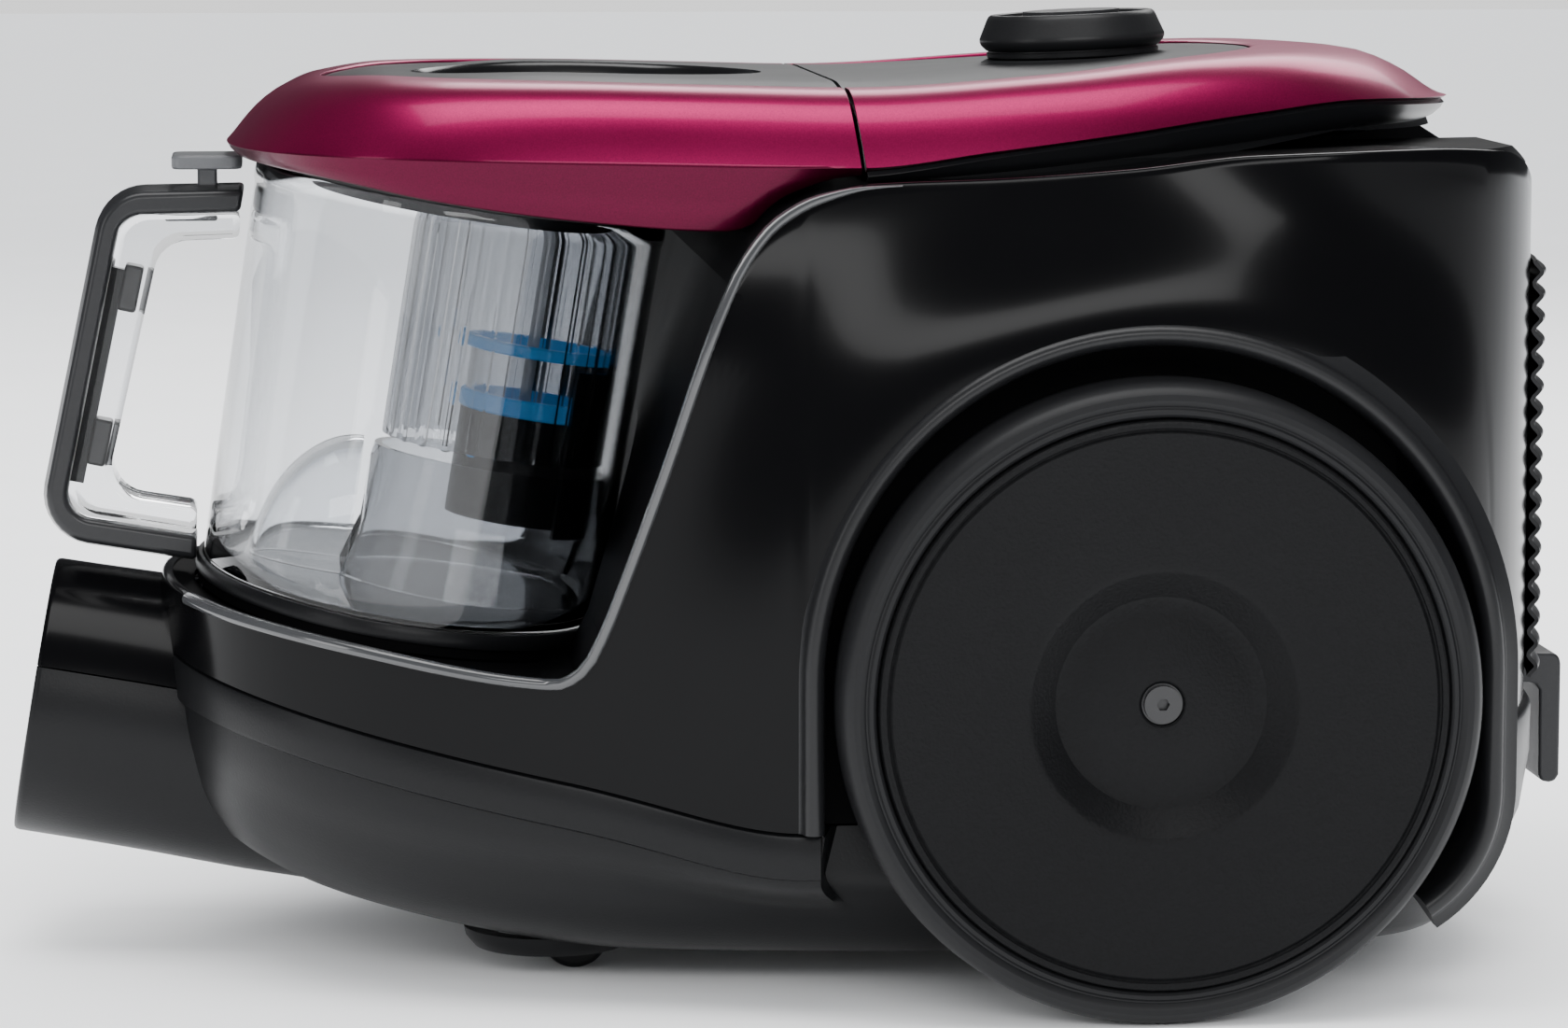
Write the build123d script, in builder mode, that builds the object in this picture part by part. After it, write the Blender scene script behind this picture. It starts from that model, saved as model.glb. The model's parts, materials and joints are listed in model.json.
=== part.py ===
"""Bagless canister vacuum cleaner, as an assembly of separate pieces.

Millimetres, +Z up.  The origin is under the middle of the machine, on the floor.  The hose snout points
to -X, the exhaust grille faces +X, and the two big wheels stand at +Y and -Y.  Left is -Y.
"""

import os
from math import cos, radians, sin, tan

from build123d import *

os.makedirs("parts", exist_ok=True)

# ---------------------------------------------------------------- driving dimensions
wall = 2.5  # moulded housing walls
clearance = 0.3  # between pieces that slide past each other
running = 0.05  # radial clearance of a shaft in its bore

# rear wheels
wheel_r = 78.0
wheel_x = 80.5
wheel_out = 136.0  # outer face, from the machine's middle
disc_w = 24.0
tyre_depth = 9.0
tyre_w = 22.0
axle_r = 5.0
axle_end_y = 88.0
hub_r = 12.0
dish_r = 30.6
dish_floor_r = 20.0
dish_depth = 5.0
disc_wall = 4.0
wheel_screw_r = 4.5
wheel_screw_h = 1.8

# arches round the wheels
arch_r = 80.0
arch_z = 83.0  # centre of the round top
arch_band = 5.0
arch_out = 123.0
arch_foot = 36.0
well_y = 106.0  # inner wall of the wheel opening

# castors
castor_r = 8.5
castor_w = 8.0
castor_x = -62.0
castor_y = 48.0
castor_trail = 6.0
castor_well_r = 17.5
castor_well_top = 25.0
castor_stem_r = 4.0
castor_stem_l = 12.0
castor_pin_r = 1.5
fork_wall = 2.0

# housings
body_half = 113.0
nose_x = -158.0
tail_x = 191.0
belly_z = 8.0
top_front_z = 201.0
top_rear_z = 208.0
split_nose_z = 80.0  # joint between upper and lower housing
split_tail_z = 46.0
split_end_x = -4.0

# dust bin: an oval tub that leans back, in a frame of its own
bin_lean = 9.3
bin_x, bin_z = -98.3, 90.6  # centre of the clear floor
bin_a, bin_b = 51.5, 86.0  # half sizes along and across the machine
bin_draft = 0.8
bin_wall = 2.2
bin_floor = 2.5
bin_h = 105.0
base_ring_h = 4.0
base_rim = 0.6
pocket_gap = 1.5
lift_lean = 8.0  # bin and lid are lifted this far forward of the vertical
port_at = -24.0  # dirty-air port in the bin's floor
port_r = 13.0
seal_w = 3.0

# handle on the bin
handle_w = 24.0
handle_lean = 12.0
cover_t = 5.5
rod_w, rod_t = 6.0, 2.6
button_w = 22.0
button_travel = 3.0
stem_x = -146.5
arm_z = 186.5

# cyclone, in the bin's frame
cyclone_at = 18.5
cyclone_r = 29.5
cyclone_wall = 2.0
cyclone_low = 40.0
skirt_r = 39.0
skirt_mid_r = 33.8
skirt_top_r = 31.0
skirt_mid_h = 21.0
skirt_top_h = 37.0
turbine_at = 26.5
turbine_r = 18.0
turbine_low = 22.0
cup_top = 50.0
band_top = 54.0
window_top = 66.0
spindle_r = 3.0
blade_count = 9
blue_ring_h = 2.5

# ring round the top, lid and deck
ring_wall = 2.5
ring_tail_x = 175.0
seam_x = 12.5  # at the height of the housing's top
seam_gap = 1.0
deck_t = 2.5
deck_drop = 1.2
lid_plate_t = 3.0
plug_depth = 3.0
plug_gap = 1.8
plug_t = 2.0
lid_seal_t = 1.5
scoop_depth = 13.0
scoop_x = -50.0
scoop_a, scoop_b = 44.0, 36.0
post_side_r = 4.0

# suction dial
knob_x = 77.3
knob_tilt = 2.5
knob_r = 24.0
knob_top_r = 22.0
knob_foot_r = 22.4
knob_h = 11.0
knob_foot_z = 228.0
post_r = 14.0
pedestal_r = 31.0
key_r = 12.5
key_travel = 2.5
key_gap = 1.0
key_proud = 0.5

# hose snout
snout_rise = 9.7  # the hose goes in from above the level, by this angle
snout_x, snout_z = -192.6, 64.4  # centre of the mouth
snout_r = 35.5
snout_l = 52.0
hose_r = 21.0
hose_socket_l = 28.0
duct_at = 38.0  # the inlet duct starts this far behind the mouth
socket_wall = 3.0
duct_r = 15.0
duct_wall = 2.0

# exhaust
grille_w = 104.0
grille_low, grille_high = 70.0, 178.0
grille_t = 6.5
grille_bars = 12
grille_slot = 3.6
filter_front = 24.0  # how far the filter's front face lies inside the tail
filter_half = 42.0
filter_low, filter_high = 78.0, 168.0
window_half = 38.0  # opening in the housing behind the grille
window_low, window_high = 82.0, 164.0
bracket_w = 44.0
bracket_low, bracket_high = 40.0, 69.5
bumper_t = 2.5
bracket_out = 199.0
bracket_slot = 16.0

# motor and cord reel
motor_x, motor_z = 62.0, 92.0
motor_r = 42.0
motor_l = 74.0
motor_y = -50.0
can_r = 30.0
can_l = 40.0
shaft_r = 4.0
impeller_r = 34.0
fan_t = 9.0
vane_count = 7
reel_x, reel_z = 98.0, 92.0
reel_r = 60.0
reel_y = 58.0
reel_w = 44.0
reel_hub_r = 26.0
reel_pin_r = 6.0
flange_t = 2.0
frame_t = 3.0
gland_r = 7.0
gland_y = 62.0
gland_z = 84.0

sides = {"left": -1, "right": 1}


def save(part, name):
    """Label a finished piece and write it to its own file."""
    part.label = name
    export_step(part, f"parts/{name}.step")


# ---------------------------------------------------------------- frames and outlines
bin_plane = Plane(
    origin=(bin_x, 0, bin_z),
    x_dir=(cos(radians(bin_lean)), 0, -sin(radians(bin_lean))),
    z_dir=(sin(radians(bin_lean)), 0, cos(radians(bin_lean))),
)
snout_plane = Plane(
    origin=(snout_x, 0, snout_z),
    x_dir=(0, 1, 0),
    z_dir=(cos(radians(snout_rise)), 0, -sin(radians(snout_rise))),
)
knob_plane = Plane(
    origin=(knob_x, 0, knob_foot_z),
    x_dir=(cos(radians(knob_tilt)), 0, sin(radians(knob_tilt))),
    z_dir=(-sin(radians(knob_tilt)), 0, cos(radians(knob_tilt))),
)


def cradle_z(x, above=0.0):
    """Height at a station x of the plane that lies this far above the bin's floor."""
    return bin_z - (x - bin_x) * tan(radians(bin_lean)) + above / cos(radians(bin_lean))


def both_halves(points):
    """The whole outline from its half at positive y, which starts and ends on the middle line."""
    return points + [(x, -y) for x, y in reversed(points[1:-1])]


def body_plan(inset):
    """Half plan of the housings, nose to tail."""
    i = inset
    return [
        (nose_x + i, 0),
        (nose_x + 13 + 0.8 * i, 57 - 0.6 * i),
        (nose_x + 60, 96 - i),
        (-40, body_half - 5 - i),
        (20, body_half - i),
        (tail_x - 80, body_half - 1 - i),
        (tail_x - 32 - 0.4 * i, body_half - 16 - 0.9 * i),
        (tail_x - 8 - 0.8 * i, 60 - 0.6 * i),
        (tail_x - i, 0),
    ]


def body_section(inset):
    """Half cross-section that narrows the housings at the belly and at the top."""
    i = inset
    return [
        (0, belly_z - 1),
        (76 - 0.3 * i, belly_z - 1),
        (body_half - 13 - 0.7 * i, belly_z + 16),
        (body_half + 5 - i, belly_z + 62),
        (body_half + 5 - i, 140),
        (body_half - 8 - i, top_rear_z - 12),
        (body_half - 20 - i, 220),
        (0, 220),
    ]


def body_profile():
    """Side outline of the housings: cradle, back rest of the bin, top, tail and belly."""
    cradle = -base_ring_h - clearance
    return [
        (nose_x - 2, cradle_z(nose_x - 2, cradle)),
        (-66, cradle_z(-66, cradle)),
        (-58, cradle_z(-58, cradle) + 2),
        (-52, cradle_z(-52, cradle) + 12),
        (-22, 178),
        (-16, 188.5),
        (-8, 195.5),
        (0, 199),
        (seam_x, top_front_z),
        (44, top_front_z + 0.5),
        (76, top_front_z + 2.5),
        (106, top_rear_z - 1),
        (176, top_rear_z),
        (184, 203),
        (tail_x - 5, 194),
        (tail_x - 6, 168),
        (tail_x - 2, 128),
        (tail_x, 104),
        (tail_x, 66),
        (tail_x - 8, 48),
        (tail_x - 20, 24),
        (tail_x - 42, belly_z),
        (-72, belly_z),
        (-96, belly_z + 2),
        (-120, belly_z + 8),
        (-143, belly_z + 17),
        (nose_x + 2, belly_z + 36),
        (nose_x - 2, 70),
    ]


def body_block(inset):
    """The housings' outer form, or their inner form when inset by the wall."""
    with BuildPart() as block:
        with BuildSketch():
            with BuildLine():
                Spline(both_halves(body_plan(inset)), periodic=True)
            make_face()
        extrude(amount=260)
        with BuildSketch(Plane.YZ.offset(nose_x - 20)):
            with BuildLine():
                Polyline(body_section(inset))
                mirror(about=Plane.YZ)
            make_face()
        extrude(amount=420, mode=Mode.INTERSECT)
        with BuildSketch(Plane.XZ.offset(-150)):
            with BuildLine():
                Polyline(body_profile(), close=True)
            make_face()
            if inset:
                offset(amount=-inset, kind=Kind.INTERSECTION)
        extrude(amount=300, mode=Mode.INTERSECT)
    return block.part


def bin_tub(grow, low, high):
    """Solid oval tub in the bin's frame between two heights above its floor."""
    with BuildPart() as tub:
        for level in (low, high):
            draft = level * tan(radians(bin_draft))
            with BuildSketch(bin_plane.offset(level)):
                Ellipse(bin_a + grow + draft, bin_b + grow + draft)
        loft(ruled=True)
    return tub.part


def wheel_wells(grow, inner, outer=200.0):
    """Both arched wheel openings, from an inner wall outward."""
    radius = arch_r + grow
    with BuildPart() as openings:
        with BuildSketch(Plane.XZ.offset(-outer)):
            with Locations((wheel_x, arch_z)):
                Circle(radius)
            with Locations((wheel_x, arch_z - 60)):
                Rectangle(2 * radius, 120)
        extrude(amount=outer - inner)
        mirror(about=Plane.XZ)
    return openings.part


def ring_plan(inset):
    """Half plan of the ring round the top, nose to tail."""
    i = inset
    return [
        (-141.5 + i, 0),
        (-123 + 0.8 * i, 69 - 0.6 * i),
        (-97 + 0.4 * i, 88.5 - 0.9 * i),
        (-60, 96.5 - i),
        (18, 98 - i),
        (100 - 0.2 * i, 84 - i),
        (144 - 0.5 * i, 61 - 0.85 * i),
        (167 - 0.9 * i, 30 - 0.5 * i),
        (ring_tail_x - i, 0),
    ]


def deck_plan(inset):
    """Half plan of the dark deck inside the ring."""
    i = inset
    return [
        (-116 + i, 0),
        (-103 + 0.8 * i, 37 - 0.6 * i),
        (-60, 68 - i),
        (18, 72 - i),
        (84 - 0.3 * i, 60 - i),
        (110 - 0.7 * i, 40 - 0.7 * i),
        (119 - 0.9 * i, 20 - 0.5 * i),
        (122 - i, 0),
    ]


def top_line(drop):
    """Height of the ring's crown along the machine."""
    return [
        (-150, 205 - drop),
        (-141, 209 - drop),
        (-128, 221.5 - drop),
        (-111, 225.5 - drop),
        (seam_x, 222.7 - drop),
        (60, 225.6 - drop),
        (102, 229.8 - drop),
        (128, 230.8 - drop),
        (147, 230.6 - drop),
        (161, 227 - drop),
        (172, 218 - drop),
    ]


def ring_block(inset):
    """Crowned solid that the ring, the lid and the deck are cut from."""
    levels = [(184, 1.5), (206, 0), (214, 3), (220, 9), (227, 20), (236, 40)]
    with BuildPart() as block:
        for height, step in levels:
            with BuildSketch(Plane.XY.offset(height)):
                with BuildLine():
                    Spline(both_halves(ring_plan(inset + step)), periodic=True)
                make_face()
        loft(ruled=True)
        with BuildSketch(Plane.XZ.offset(-150)):
            with BuildLine():
                Polyline([(-150, 150)] + top_line(inset) + [(172, 150)], close=True)
            make_face()
        extrude(amount=300, mode=Mode.INTERSECT)
    return block.part


def deck_prism(inset):
    """Upright prism over the deck's outline."""
    with BuildPart() as prism:
        with BuildSketch(Plane.XY.offset(150)):
            with BuildLine():
                Spline(both_halves(deck_plan(inset)), periodic=True)
            make_face()
        extrude(amount=120)
    return prism.part


def side_prism(points, half=150.0):
    """Prism across the machine over an outline given in the side view."""
    with BuildPart() as prism:
        with BuildSketch(Plane.XZ.offset(-half)):
            with BuildLine():
                Polyline(points, close=True)
            make_face()
        extrude(amount=2 * half)
    return prism.part


def seam_at(z, gap):
    """Station of the seam between lid and rear ring at a height."""
    return seam_x + gap - (z - top_front_z) * tan(radians(lift_lean))


# ---------------------------------------------------------------- housings
outer_form = body_block(0)
trim_form = body_block(-clearance)
pocket = bin_tub(pocket_gap, -base_ring_h - 2, bin_h + 40)
pocket_wall = bin_tub(pocket_gap + wall, -base_ring_h - 2, bin_h + 40)
wells = wheel_wells(0, well_y)
wells_wall = wheel_wells(wall, well_y - wall)
lower_side = [
    (nose_x - 50, -10),
    (nose_x - 50, split_nose_z),
    (nose_x, split_nose_z),
    (split_end_x, split_tail_z),
    (260, split_tail_z),
    (260, -10),
]
lower_half = side_prism(lower_side)


def grip_recess(grow):
    """Finger room under the ring's tail, open to the top and to the rear."""
    points = [
        (122 - grow, 260),
        (122 - grow, 196),
        (130, 184 - grow),
        (170, 184 - grow),
        (240, 192 - grow),
        (240, 260),
    ]
    return side_prism(points, 36 + grow)


def upright(x, y, z, radius, height):
    """Upright cylinder standing on a level."""
    with BuildPart() as post:
        with Locations((x, y, z)):
            Cylinder(radius, height, align=(Align.CENTER, Align.CENTER, Align.MIN))
    return post.part


def bin_cylinder(along, radius, low, high):
    """Cylinder parallel to the bin's axis."""
    with BuildPart() as rod:
        with BuildSketch(bin_plane.offset(low)):
            with Locations((along, 0)):
                Circle(radius)
        extrude(amount=high - low)
    return rod.part


def cross_cylinder(x, z, radius, y_low, y_high):
    """Cylinder with its axis across the machine."""
    with BuildPart() as rod:
        with BuildSketch(Plane.XZ.offset(-y_high)):
            with Locations((x, z)):
                Circle(radius)
        extrude(amount=y_high - y_low)
    return rod.part


castor_stem_top = castor_well_top + castor_stem_l + 1
with BuildPart() as castor_wells:
    for side in sides.values():
        add(upright(castor_x, side * castor_y, 0, castor_well_r, castor_well_top))
        add(upright(castor_x, side * castor_y, 0, castor_stem_r + running, castor_stem_top))

with BuildPart() as castor_cups:
    for side in sides.values():
        add(upright(castor_x, side * castor_y, 0, castor_well_r + wall, castor_well_top + wall))
        add(upright(castor_x, side * castor_y, 0, castor_stem_r + wall, castor_stem_top + wall))

screw_spots = [(20, 66), (20, -66), (-112, 44), (-112, -44), (150, 58), (150, -58)]
screw_r = 1.6
screw_head_r = 3.2
screw_l = 24.0
boss_r = 5.0

with BuildPart() as hollow:
    add(body_block(wall))
    add(pocket_wall, mode=Mode.SUBTRACT)
    add(wells_wall, mode=Mode.SUBTRACT)
    add(castor_cups.part, mode=Mode.SUBTRACT)
    add(grip_recess(wall), mode=Mode.SUBTRACT)

with BuildPart() as housing_shell:
    add(outer_form)
    add(pocket, mode=Mode.SUBTRACT)
    add(wells, mode=Mode.SUBTRACT)
    add(castor_wells.part, mode=Mode.SUBTRACT)
    add(grip_recess(0), mode=Mode.SUBTRACT)
    add(hollow.part, mode=Mode.SUBTRACT)
    for side in sides.values():
        add(cross_cylinder(wheel_x, wheel_r, axle_r + 6, *sorted((side * (well_y - wall), side * 92))))
        add(cross_cylinder(wheel_x, wheel_r, axle_r, *sorted((side * 80, side * 120))), mode=Mode.SUBTRACT)

snout_end = snout_plane.offset(duct_at)
with BuildPart() as duct_hole:
    with BuildSketch(snout_end.offset(-14)):
        Circle(duct_r + duct_wall + clearance)
    extrude(amount=30)

with BuildPart() as lower_housing:
    add(housing_shell.part)
    add(lower_half, mode=Mode.INTERSECT)
    for x, y in screw_spots:
        add(upright(x, y, belly_z + 1.5, boss_r, screw_l + 6))
    with BuildSketch(Plane.XZ.offset(-motor_y - 27)):
        with Locations((motor_x, belly_z + wall)):
            Rectangle(64, motor_z - belly_z - wall, align=(Align.CENTER, Align.MIN))
    extrude(amount=wall)
    with BuildSketch(Plane.XZ.offset(-motor_y + 23)):
        with Locations((motor_x, belly_z + wall)):
            Rectangle(64, motor_z - belly_z - wall, align=(Align.CENTER, Align.MIN))
    extrude(amount=wall)
    add(cross_cylinder(motor_x, motor_z, motor_r + running, motor_y - 40, motor_y + 40), mode=Mode.SUBTRACT)
    add(duct_hole.part, mode=Mode.SUBTRACT)
    for x, y in screw_spots:
        add(upright(x, y, 0, screw_r + running, belly_z + screw_l + 4), mode=Mode.SUBTRACT)
        add(upright(x, y, 0, screw_head_r + clearance, belly_z + 4), mode=Mode.SUBTRACT)
save(lower_housing.part, "lower_housing")

with BuildPart() as housing_screws:
    for x, y in screw_spots:
        add(upright(x, y, belly_z + 4, screw_r, screw_l - 4))
        add(upright(x, y, belly_z + 2, screw_head_r, 2))
save(housing_screws.part, "housing_screws")

board_spots = [(x, y) for x in (46, 92) for y in (-16, 16)]
board_z = 188.0

with BuildPart() as upper_housing:
    add(housing_shell.part)
    add(lower_half, mode=Mode.SUBTRACT)
    for x, y in board_spots:
        add(upright(x, y, board_z, 3, top_front_z - board_z + 0.05 * (x - 46)))
    add(bin_cylinder(port_at, duct_r + duct_wall + clearance, -14, 2), mode=Mode.SUBTRACT)
    front, back = tail_x - 20, tail_x + 20
    window = [(front, window_low), (back, window_low), (back, window_high), (front, window_high)]
    add(side_prism(window, window_half), mode=Mode.SUBTRACT)
    with Locations(Location((tail_x - 8, gland_y, gland_z), (0, 90, 0))):
        Cylinder(gland_r - 3, 40, mode=Mode.SUBTRACT)
save(upper_housing.part, "upper_housing")

# ---------------------------------------------------------------- hose snout and inlet
with BuildPart() as snout_cover:
    with BuildSketch(snout_plane):
        Circle(snout_r)
    with BuildSketch(snout_plane.offset(snout_l)):
        Ellipse(snout_r + 5, snout_r + 1)
    loft()
    with BuildSketch(snout_plane.offset(wall)):
        Circle(snout_r - wall)
    with BuildSketch(snout_plane.offset(snout_l)):
        Ellipse(snout_r + 5 - wall, snout_r + 1 - wall)
    loft(mode=Mode.SUBTRACT)
    with BuildSketch(snout_plane):
        Circle(hose_r + socket_wall)
    extrude(amount=10, mode=Mode.SUBTRACT)
    add(trim_form, mode=Mode.SUBTRACT)
save(snout_cover.part, "snout_cover")

with BuildPart() as hose_socket:
    with BuildSketch(snout_plane):
        Circle(hose_r + socket_wall)
        Circle(hose_r, mode=Mode.SUBTRACT)
    extrude(amount=hose_socket_l)
    with BuildSketch(snout_plane.offset(hose_socket_l)):
        Circle(hose_r + socket_wall)
        Circle(duct_r, mode=Mode.SUBTRACT)
    extrude(amount=2)
    add(trim_form, mode=Mode.SUBTRACT)
    with BuildSketch(snout_plane.offset(hose_socket_l + 1)):
        Circle(duct_r + duct_wall)
        Circle(duct_r, mode=Mode.SUBTRACT)
    extrude(amount=duct_at - hose_socket_l - 1)
save(hose_socket.part, "hose_socket")

seal_low = -base_ring_h - clearance - seal_w
duct_start = snout_end.origin
duct_finish = bin_plane.from_local_coords(Vector(port_at, 0, seal_low))
with BuildPart() as inlet_duct:
    with BuildLine() as duct_path:
        Spline(duct_start, duct_finish, tangents=[snout_plane.z_dir, bin_plane.z_dir])
    with BuildSketch(snout_end):
        Circle(duct_r + duct_wall)
        Circle(duct_r, mode=Mode.SUBTRACT)
    sweep(path=duct_path.line)
save(inlet_duct.part, "inlet_duct")

with BuildPart() as inlet_seal:
    add(bin_cylinder(port_at, duct_r + duct_wall, seal_low, seal_low + seal_w))
    add(bin_cylinder(port_at, duct_r - 1, seal_low - 1, seal_low + seal_w + 1), mode=Mode.SUBTRACT)
save(inlet_seal.part, "inlet_seal")

# ---------------------------------------------------------------- wheel arches, bumper, grille
arch_ring = wheel_wells(arch_band, body_half - 35, arch_out)
for side_name, side in sides.items():
    with BuildPart() as arch:
        add(arch_ring)
        add(wheel_wells(0, 0), mode=Mode.SUBTRACT)
        add(trim_form, mode=Mode.SUBTRACT)
        with Locations((wheel_x, -side * 100, 100)):
            Box(300, 200, 400, mode=Mode.SUBTRACT)
        with Locations((wheel_x, 0, arch_foot - 100)):
            Box(300, 400, 200, mode=Mode.SUBTRACT)
    save(arch.part, f"wheel_arch_{side_name}")

bumper_form = body_block(-bumper_t)
with BuildPart() as rear_bumper:
    add(bumper_form)
    add(trim_form, mode=Mode.SUBTRACT)
    add(side_prism([(156, belly_z), (156, 66), (260, 66), (260, belly_z)]), mode=Mode.INTERSECT)
    add(wheel_wells(arch_band, 60), mode=Mode.SUBTRACT)
save(rear_bumper.part, "rear_bumper")

with BuildPart() as parking_bracket:
    front = tail_x - 20
    block = [(front, bracket_low), (front, bracket_high), (bracket_out, bracket_high), (bracket_out, bracket_low)]
    add(side_prism(block, bracket_w / 2))
    add(bumper_form, mode=Mode.SUBTRACT)
    with Locations((bracket_out, 0, (bracket_low + bracket_high) / 2)):
        Box(2 * (bracket_out - tail_x - bumper_t) - 1, bracket_slot, 100, mode=Mode.SUBTRACT)
save(parking_bracket.part, "parking_bracket")

with BuildPart() as rear_grille:
    add(body_block(-grille_t))
    add(trim_form, mode=Mode.SUBTRACT)
    low, high = grille_low, grille_high
    add(
        side_prism([(tail_x - 22, low), (tail_x - 22, high), (260, high), (260, low)], grille_w / 2),
        mode=Mode.INTERSECT,
    )
    pitch = (grille_high - grille_low) / grille_bars
    with Locations(*[(tail_x + 10, 0, grille_low + pitch * (row + 0.5)) for row in range(grille_bars)]):
        Box(60, grille_w - 16, grille_slot, mode=Mode.SUBTRACT)
save(rear_grille.part, "rear_grille")

with BuildPart() as exhaust_filter:
    add(body_block(wall + clearance))
    front = tail_x - filter_front
    slab = [(front, filter_low), (front, filter_high), (260, filter_high), (260, filter_low)]
    add(side_prism(slab, filter_half), mode=Mode.INTERSECT)
save(exhaust_filter.part, "exhaust_filter")

with BuildPart() as cord_gland:
    with Locations(Location((tail_x - 8, gland_y, gland_z), (0, 90, 0))):
        Cylinder(gland_r, 30)
        Cylinder(gland_r - 3, 60, mode=Mode.SUBTRACT)
    add(trim_form, mode=Mode.SUBTRACT)
save(cord_gland.part, "cord_gland")


# ---------------------------------------------------------------- ring, deck and dial
ring_outer = ring_block(0)
ring_inner = ring_block(ring_wall)
deck_low = deck_drop + deck_t
with BuildPart() as deck_form:
    add(ring_block(deck_drop))
    add(ring_block(deck_low), mode=Mode.SUBTRACT)
deck_plate = deck_form.part
rear_edge = [(seam_x + 3, 204), (44, 207.5), (76, 211.4), (110, 216), (140, 218.8), (180, 216)]
rear_side = side_prism(
    [(seam_at(204, seam_gap / 2), 204)]
    + rear_edge
    + [(180, 250), (seam_at(250, seam_gap / 2), 250)]
)
under_low = [(seam_x + 3, 201.3), (44, 201.5), (76, 203.5), (106, 207), (134, 211.2), (180, 210)]
front_edge = [
    (-170, 206),
    (-141, 204.5),
    (-118, 201.5),
    (-92, 196.5),
    (-54, 191.5),
    (-17.5, 189.6),
    (-9.6, 196.9),
    (-1.0, 200.4),
    (seam_at(202.6, -seam_gap / 2), 202.6),
]
front_side = side_prism(front_edge + [(seam_at(250, -seam_gap / 2), 250), (-170, 250)])

with BuildPart() as top_ring:
    add(ring_outer)
    add(ring_inner, mode=Mode.SUBTRACT)
    add(deck_prism(0), mode=Mode.SUBTRACT)
    add(rear_side, mode=Mode.INTERSECT)
save(top_ring.part, "top_ring")

with BuildPart() as under_ring:
    add(ring_block(ring_wall + 0.4))
    add(ring_block(ring_wall + 3.4), mode=Mode.SUBTRACT)
    tail_floor = [(112, 209)] + [(134, 211.2), (180, 210), (180, 212.5), (134, 213.7), (112, 211.5)]
    with BuildSketch(Plane.XZ.offset(-60)):
        with BuildLine():
            Polyline(tail_floor, close=True)
        make_face()
    extrude(amount=120)
    add(ring_block(ring_wall + 0.4), mode=Mode.INTERSECT)
    raised = [(x, z + 3) for x, z in reversed(rear_edge)]
    add(side_prism(under_low + raised), mode=Mode.INTERSECT)
save(under_ring.part, "under_ring")

with BuildPart() as top_deck:
    add(deck_plate)
    add(deck_prism(clearance / 2), mode=Mode.INTERSECT)
    add(rear_side, mode=Mode.INTERSECT)
    with BuildSketch(knob_plane.offset(-4)):
        Circle(pedestal_r)
    with BuildSketch(knob_plane.offset(-clearance)):
        Circle(knob_foot_r)
    loft()
    with BuildSketch(knob_plane.offset(-7)):
        Circle(post_r)
    extrude(amount=7 + knob_h)
    with BuildSketch(knob_plane.offset(-5)):
        Circle(key_r + clearance)
    extrude(amount=40, mode=Mode.SUBTRACT)
save(top_deck.part, "top_deck")

with BuildPart() as suction_dial:
    with BuildSketch(Plane.XZ):
        with BuildLine():
            Polyline(
                (post_r + running, 0),
                (knob_foot_r, 0),
                (knob_foot_r, 1.6),
                (knob_r, 4),
                (knob_top_r, knob_h - 1),
                (knob_top_r - 1, knob_h),
                (post_r + running, knob_h),
                close=True,
            )
        make_face()
    revolve(axis=Axis.Z)
    with PolarLocations(knob_r + 0.6, 24):
        Cylinder(1.2, 3 * knob_h, mode=Mode.SUBTRACT)
dial = knob_plane.from_local_coords(suction_dial.part)
save(dial, "suction_dial")

for key_name, side in (("power_key", -1), ("rewind_key", 1)):
    with BuildPart() as key:
        with BuildSketch(knob_plane.offset(-5 + key_travel + clearance)):
            Circle(key_r)
            with Locations((0, -side * key_r)):
                Rectangle(3 * key_r, 2 * key_r + key_gap, mode=Mode.SUBTRACT)
        extrude(amount=knob_h + key_proud + 5 - key_travel - clearance)
    save(key.part, key_name)

# ---------------------------------------------------------------- rear wheels
def wheel_face(side):
    """Outer face of a rear wheel, looking into the machine."""
    return Plane(origin=(wheel_x, side * wheel_out, wheel_r), x_dir=(1, 0, 0), z_dir=(0, -side, 0))


for side_name, side in sides.items():
    face = wheel_face(side)
    with BuildPart() as disc:
        with BuildSketch(face.offset(1)):
            Circle(wheel_r - tyre_depth)
        extrude(amount=disc_w - 1)
        with BuildSketch(face):
            Circle(wheel_r - tyre_depth - 3)
        extrude(amount=1)
        with BuildSketch(face.offset(disc_wall + dish_depth)):
            Circle(wheel_r - tyre_depth - disc_wall)
            Circle(hub_r, mode=Mode.SUBTRACT)
        extrude(amount=disc_w, mode=Mode.SUBTRACT)
        with BuildSketch(face):
            Circle(dish_r)
        with BuildSketch(face.offset(dish_depth)):
            Circle(dish_floor_r)
        loft(mode=Mode.SUBTRACT)
        with BuildSketch(face):
            Circle(wheel_screw_r + clearance)
        extrude(amount=dish_depth + wheel_screw_h, mode=Mode.SUBTRACT)
        with BuildSketch(face):
            Circle(axle_r + running)
        extrude(amount=disc_w + 1, mode=Mode.SUBTRACT)
    save(disc.part, f"wheel_disc_{side_name}")
    with BuildPart() as tyre:
        with BuildSketch(face.offset(disc_w - tyre_w)):
            Circle(wheel_r)
            Circle(wheel_r - tyre_depth, mode=Mode.SUBTRACT)
        extrude(amount=tyre_w - 1)
        fillet(tyre.edges().filter_by(GeomType.CIRCLE).group_by(SortBy.RADIUS)[-1], radius=4)
    save(tyre.part, f"wheel_tyre_{side_name}")

with BuildPart() as wheel_axles:
    for side in sides.values():
        screw_face = dish_depth + wheel_screw_h
        with BuildSketch(wheel_face(side).offset(screw_face)):
            Circle(axle_r)
        extrude(amount=wheel_out - screw_face - axle_end_y)
save(wheel_axles.part, "wheel_axles")

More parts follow.
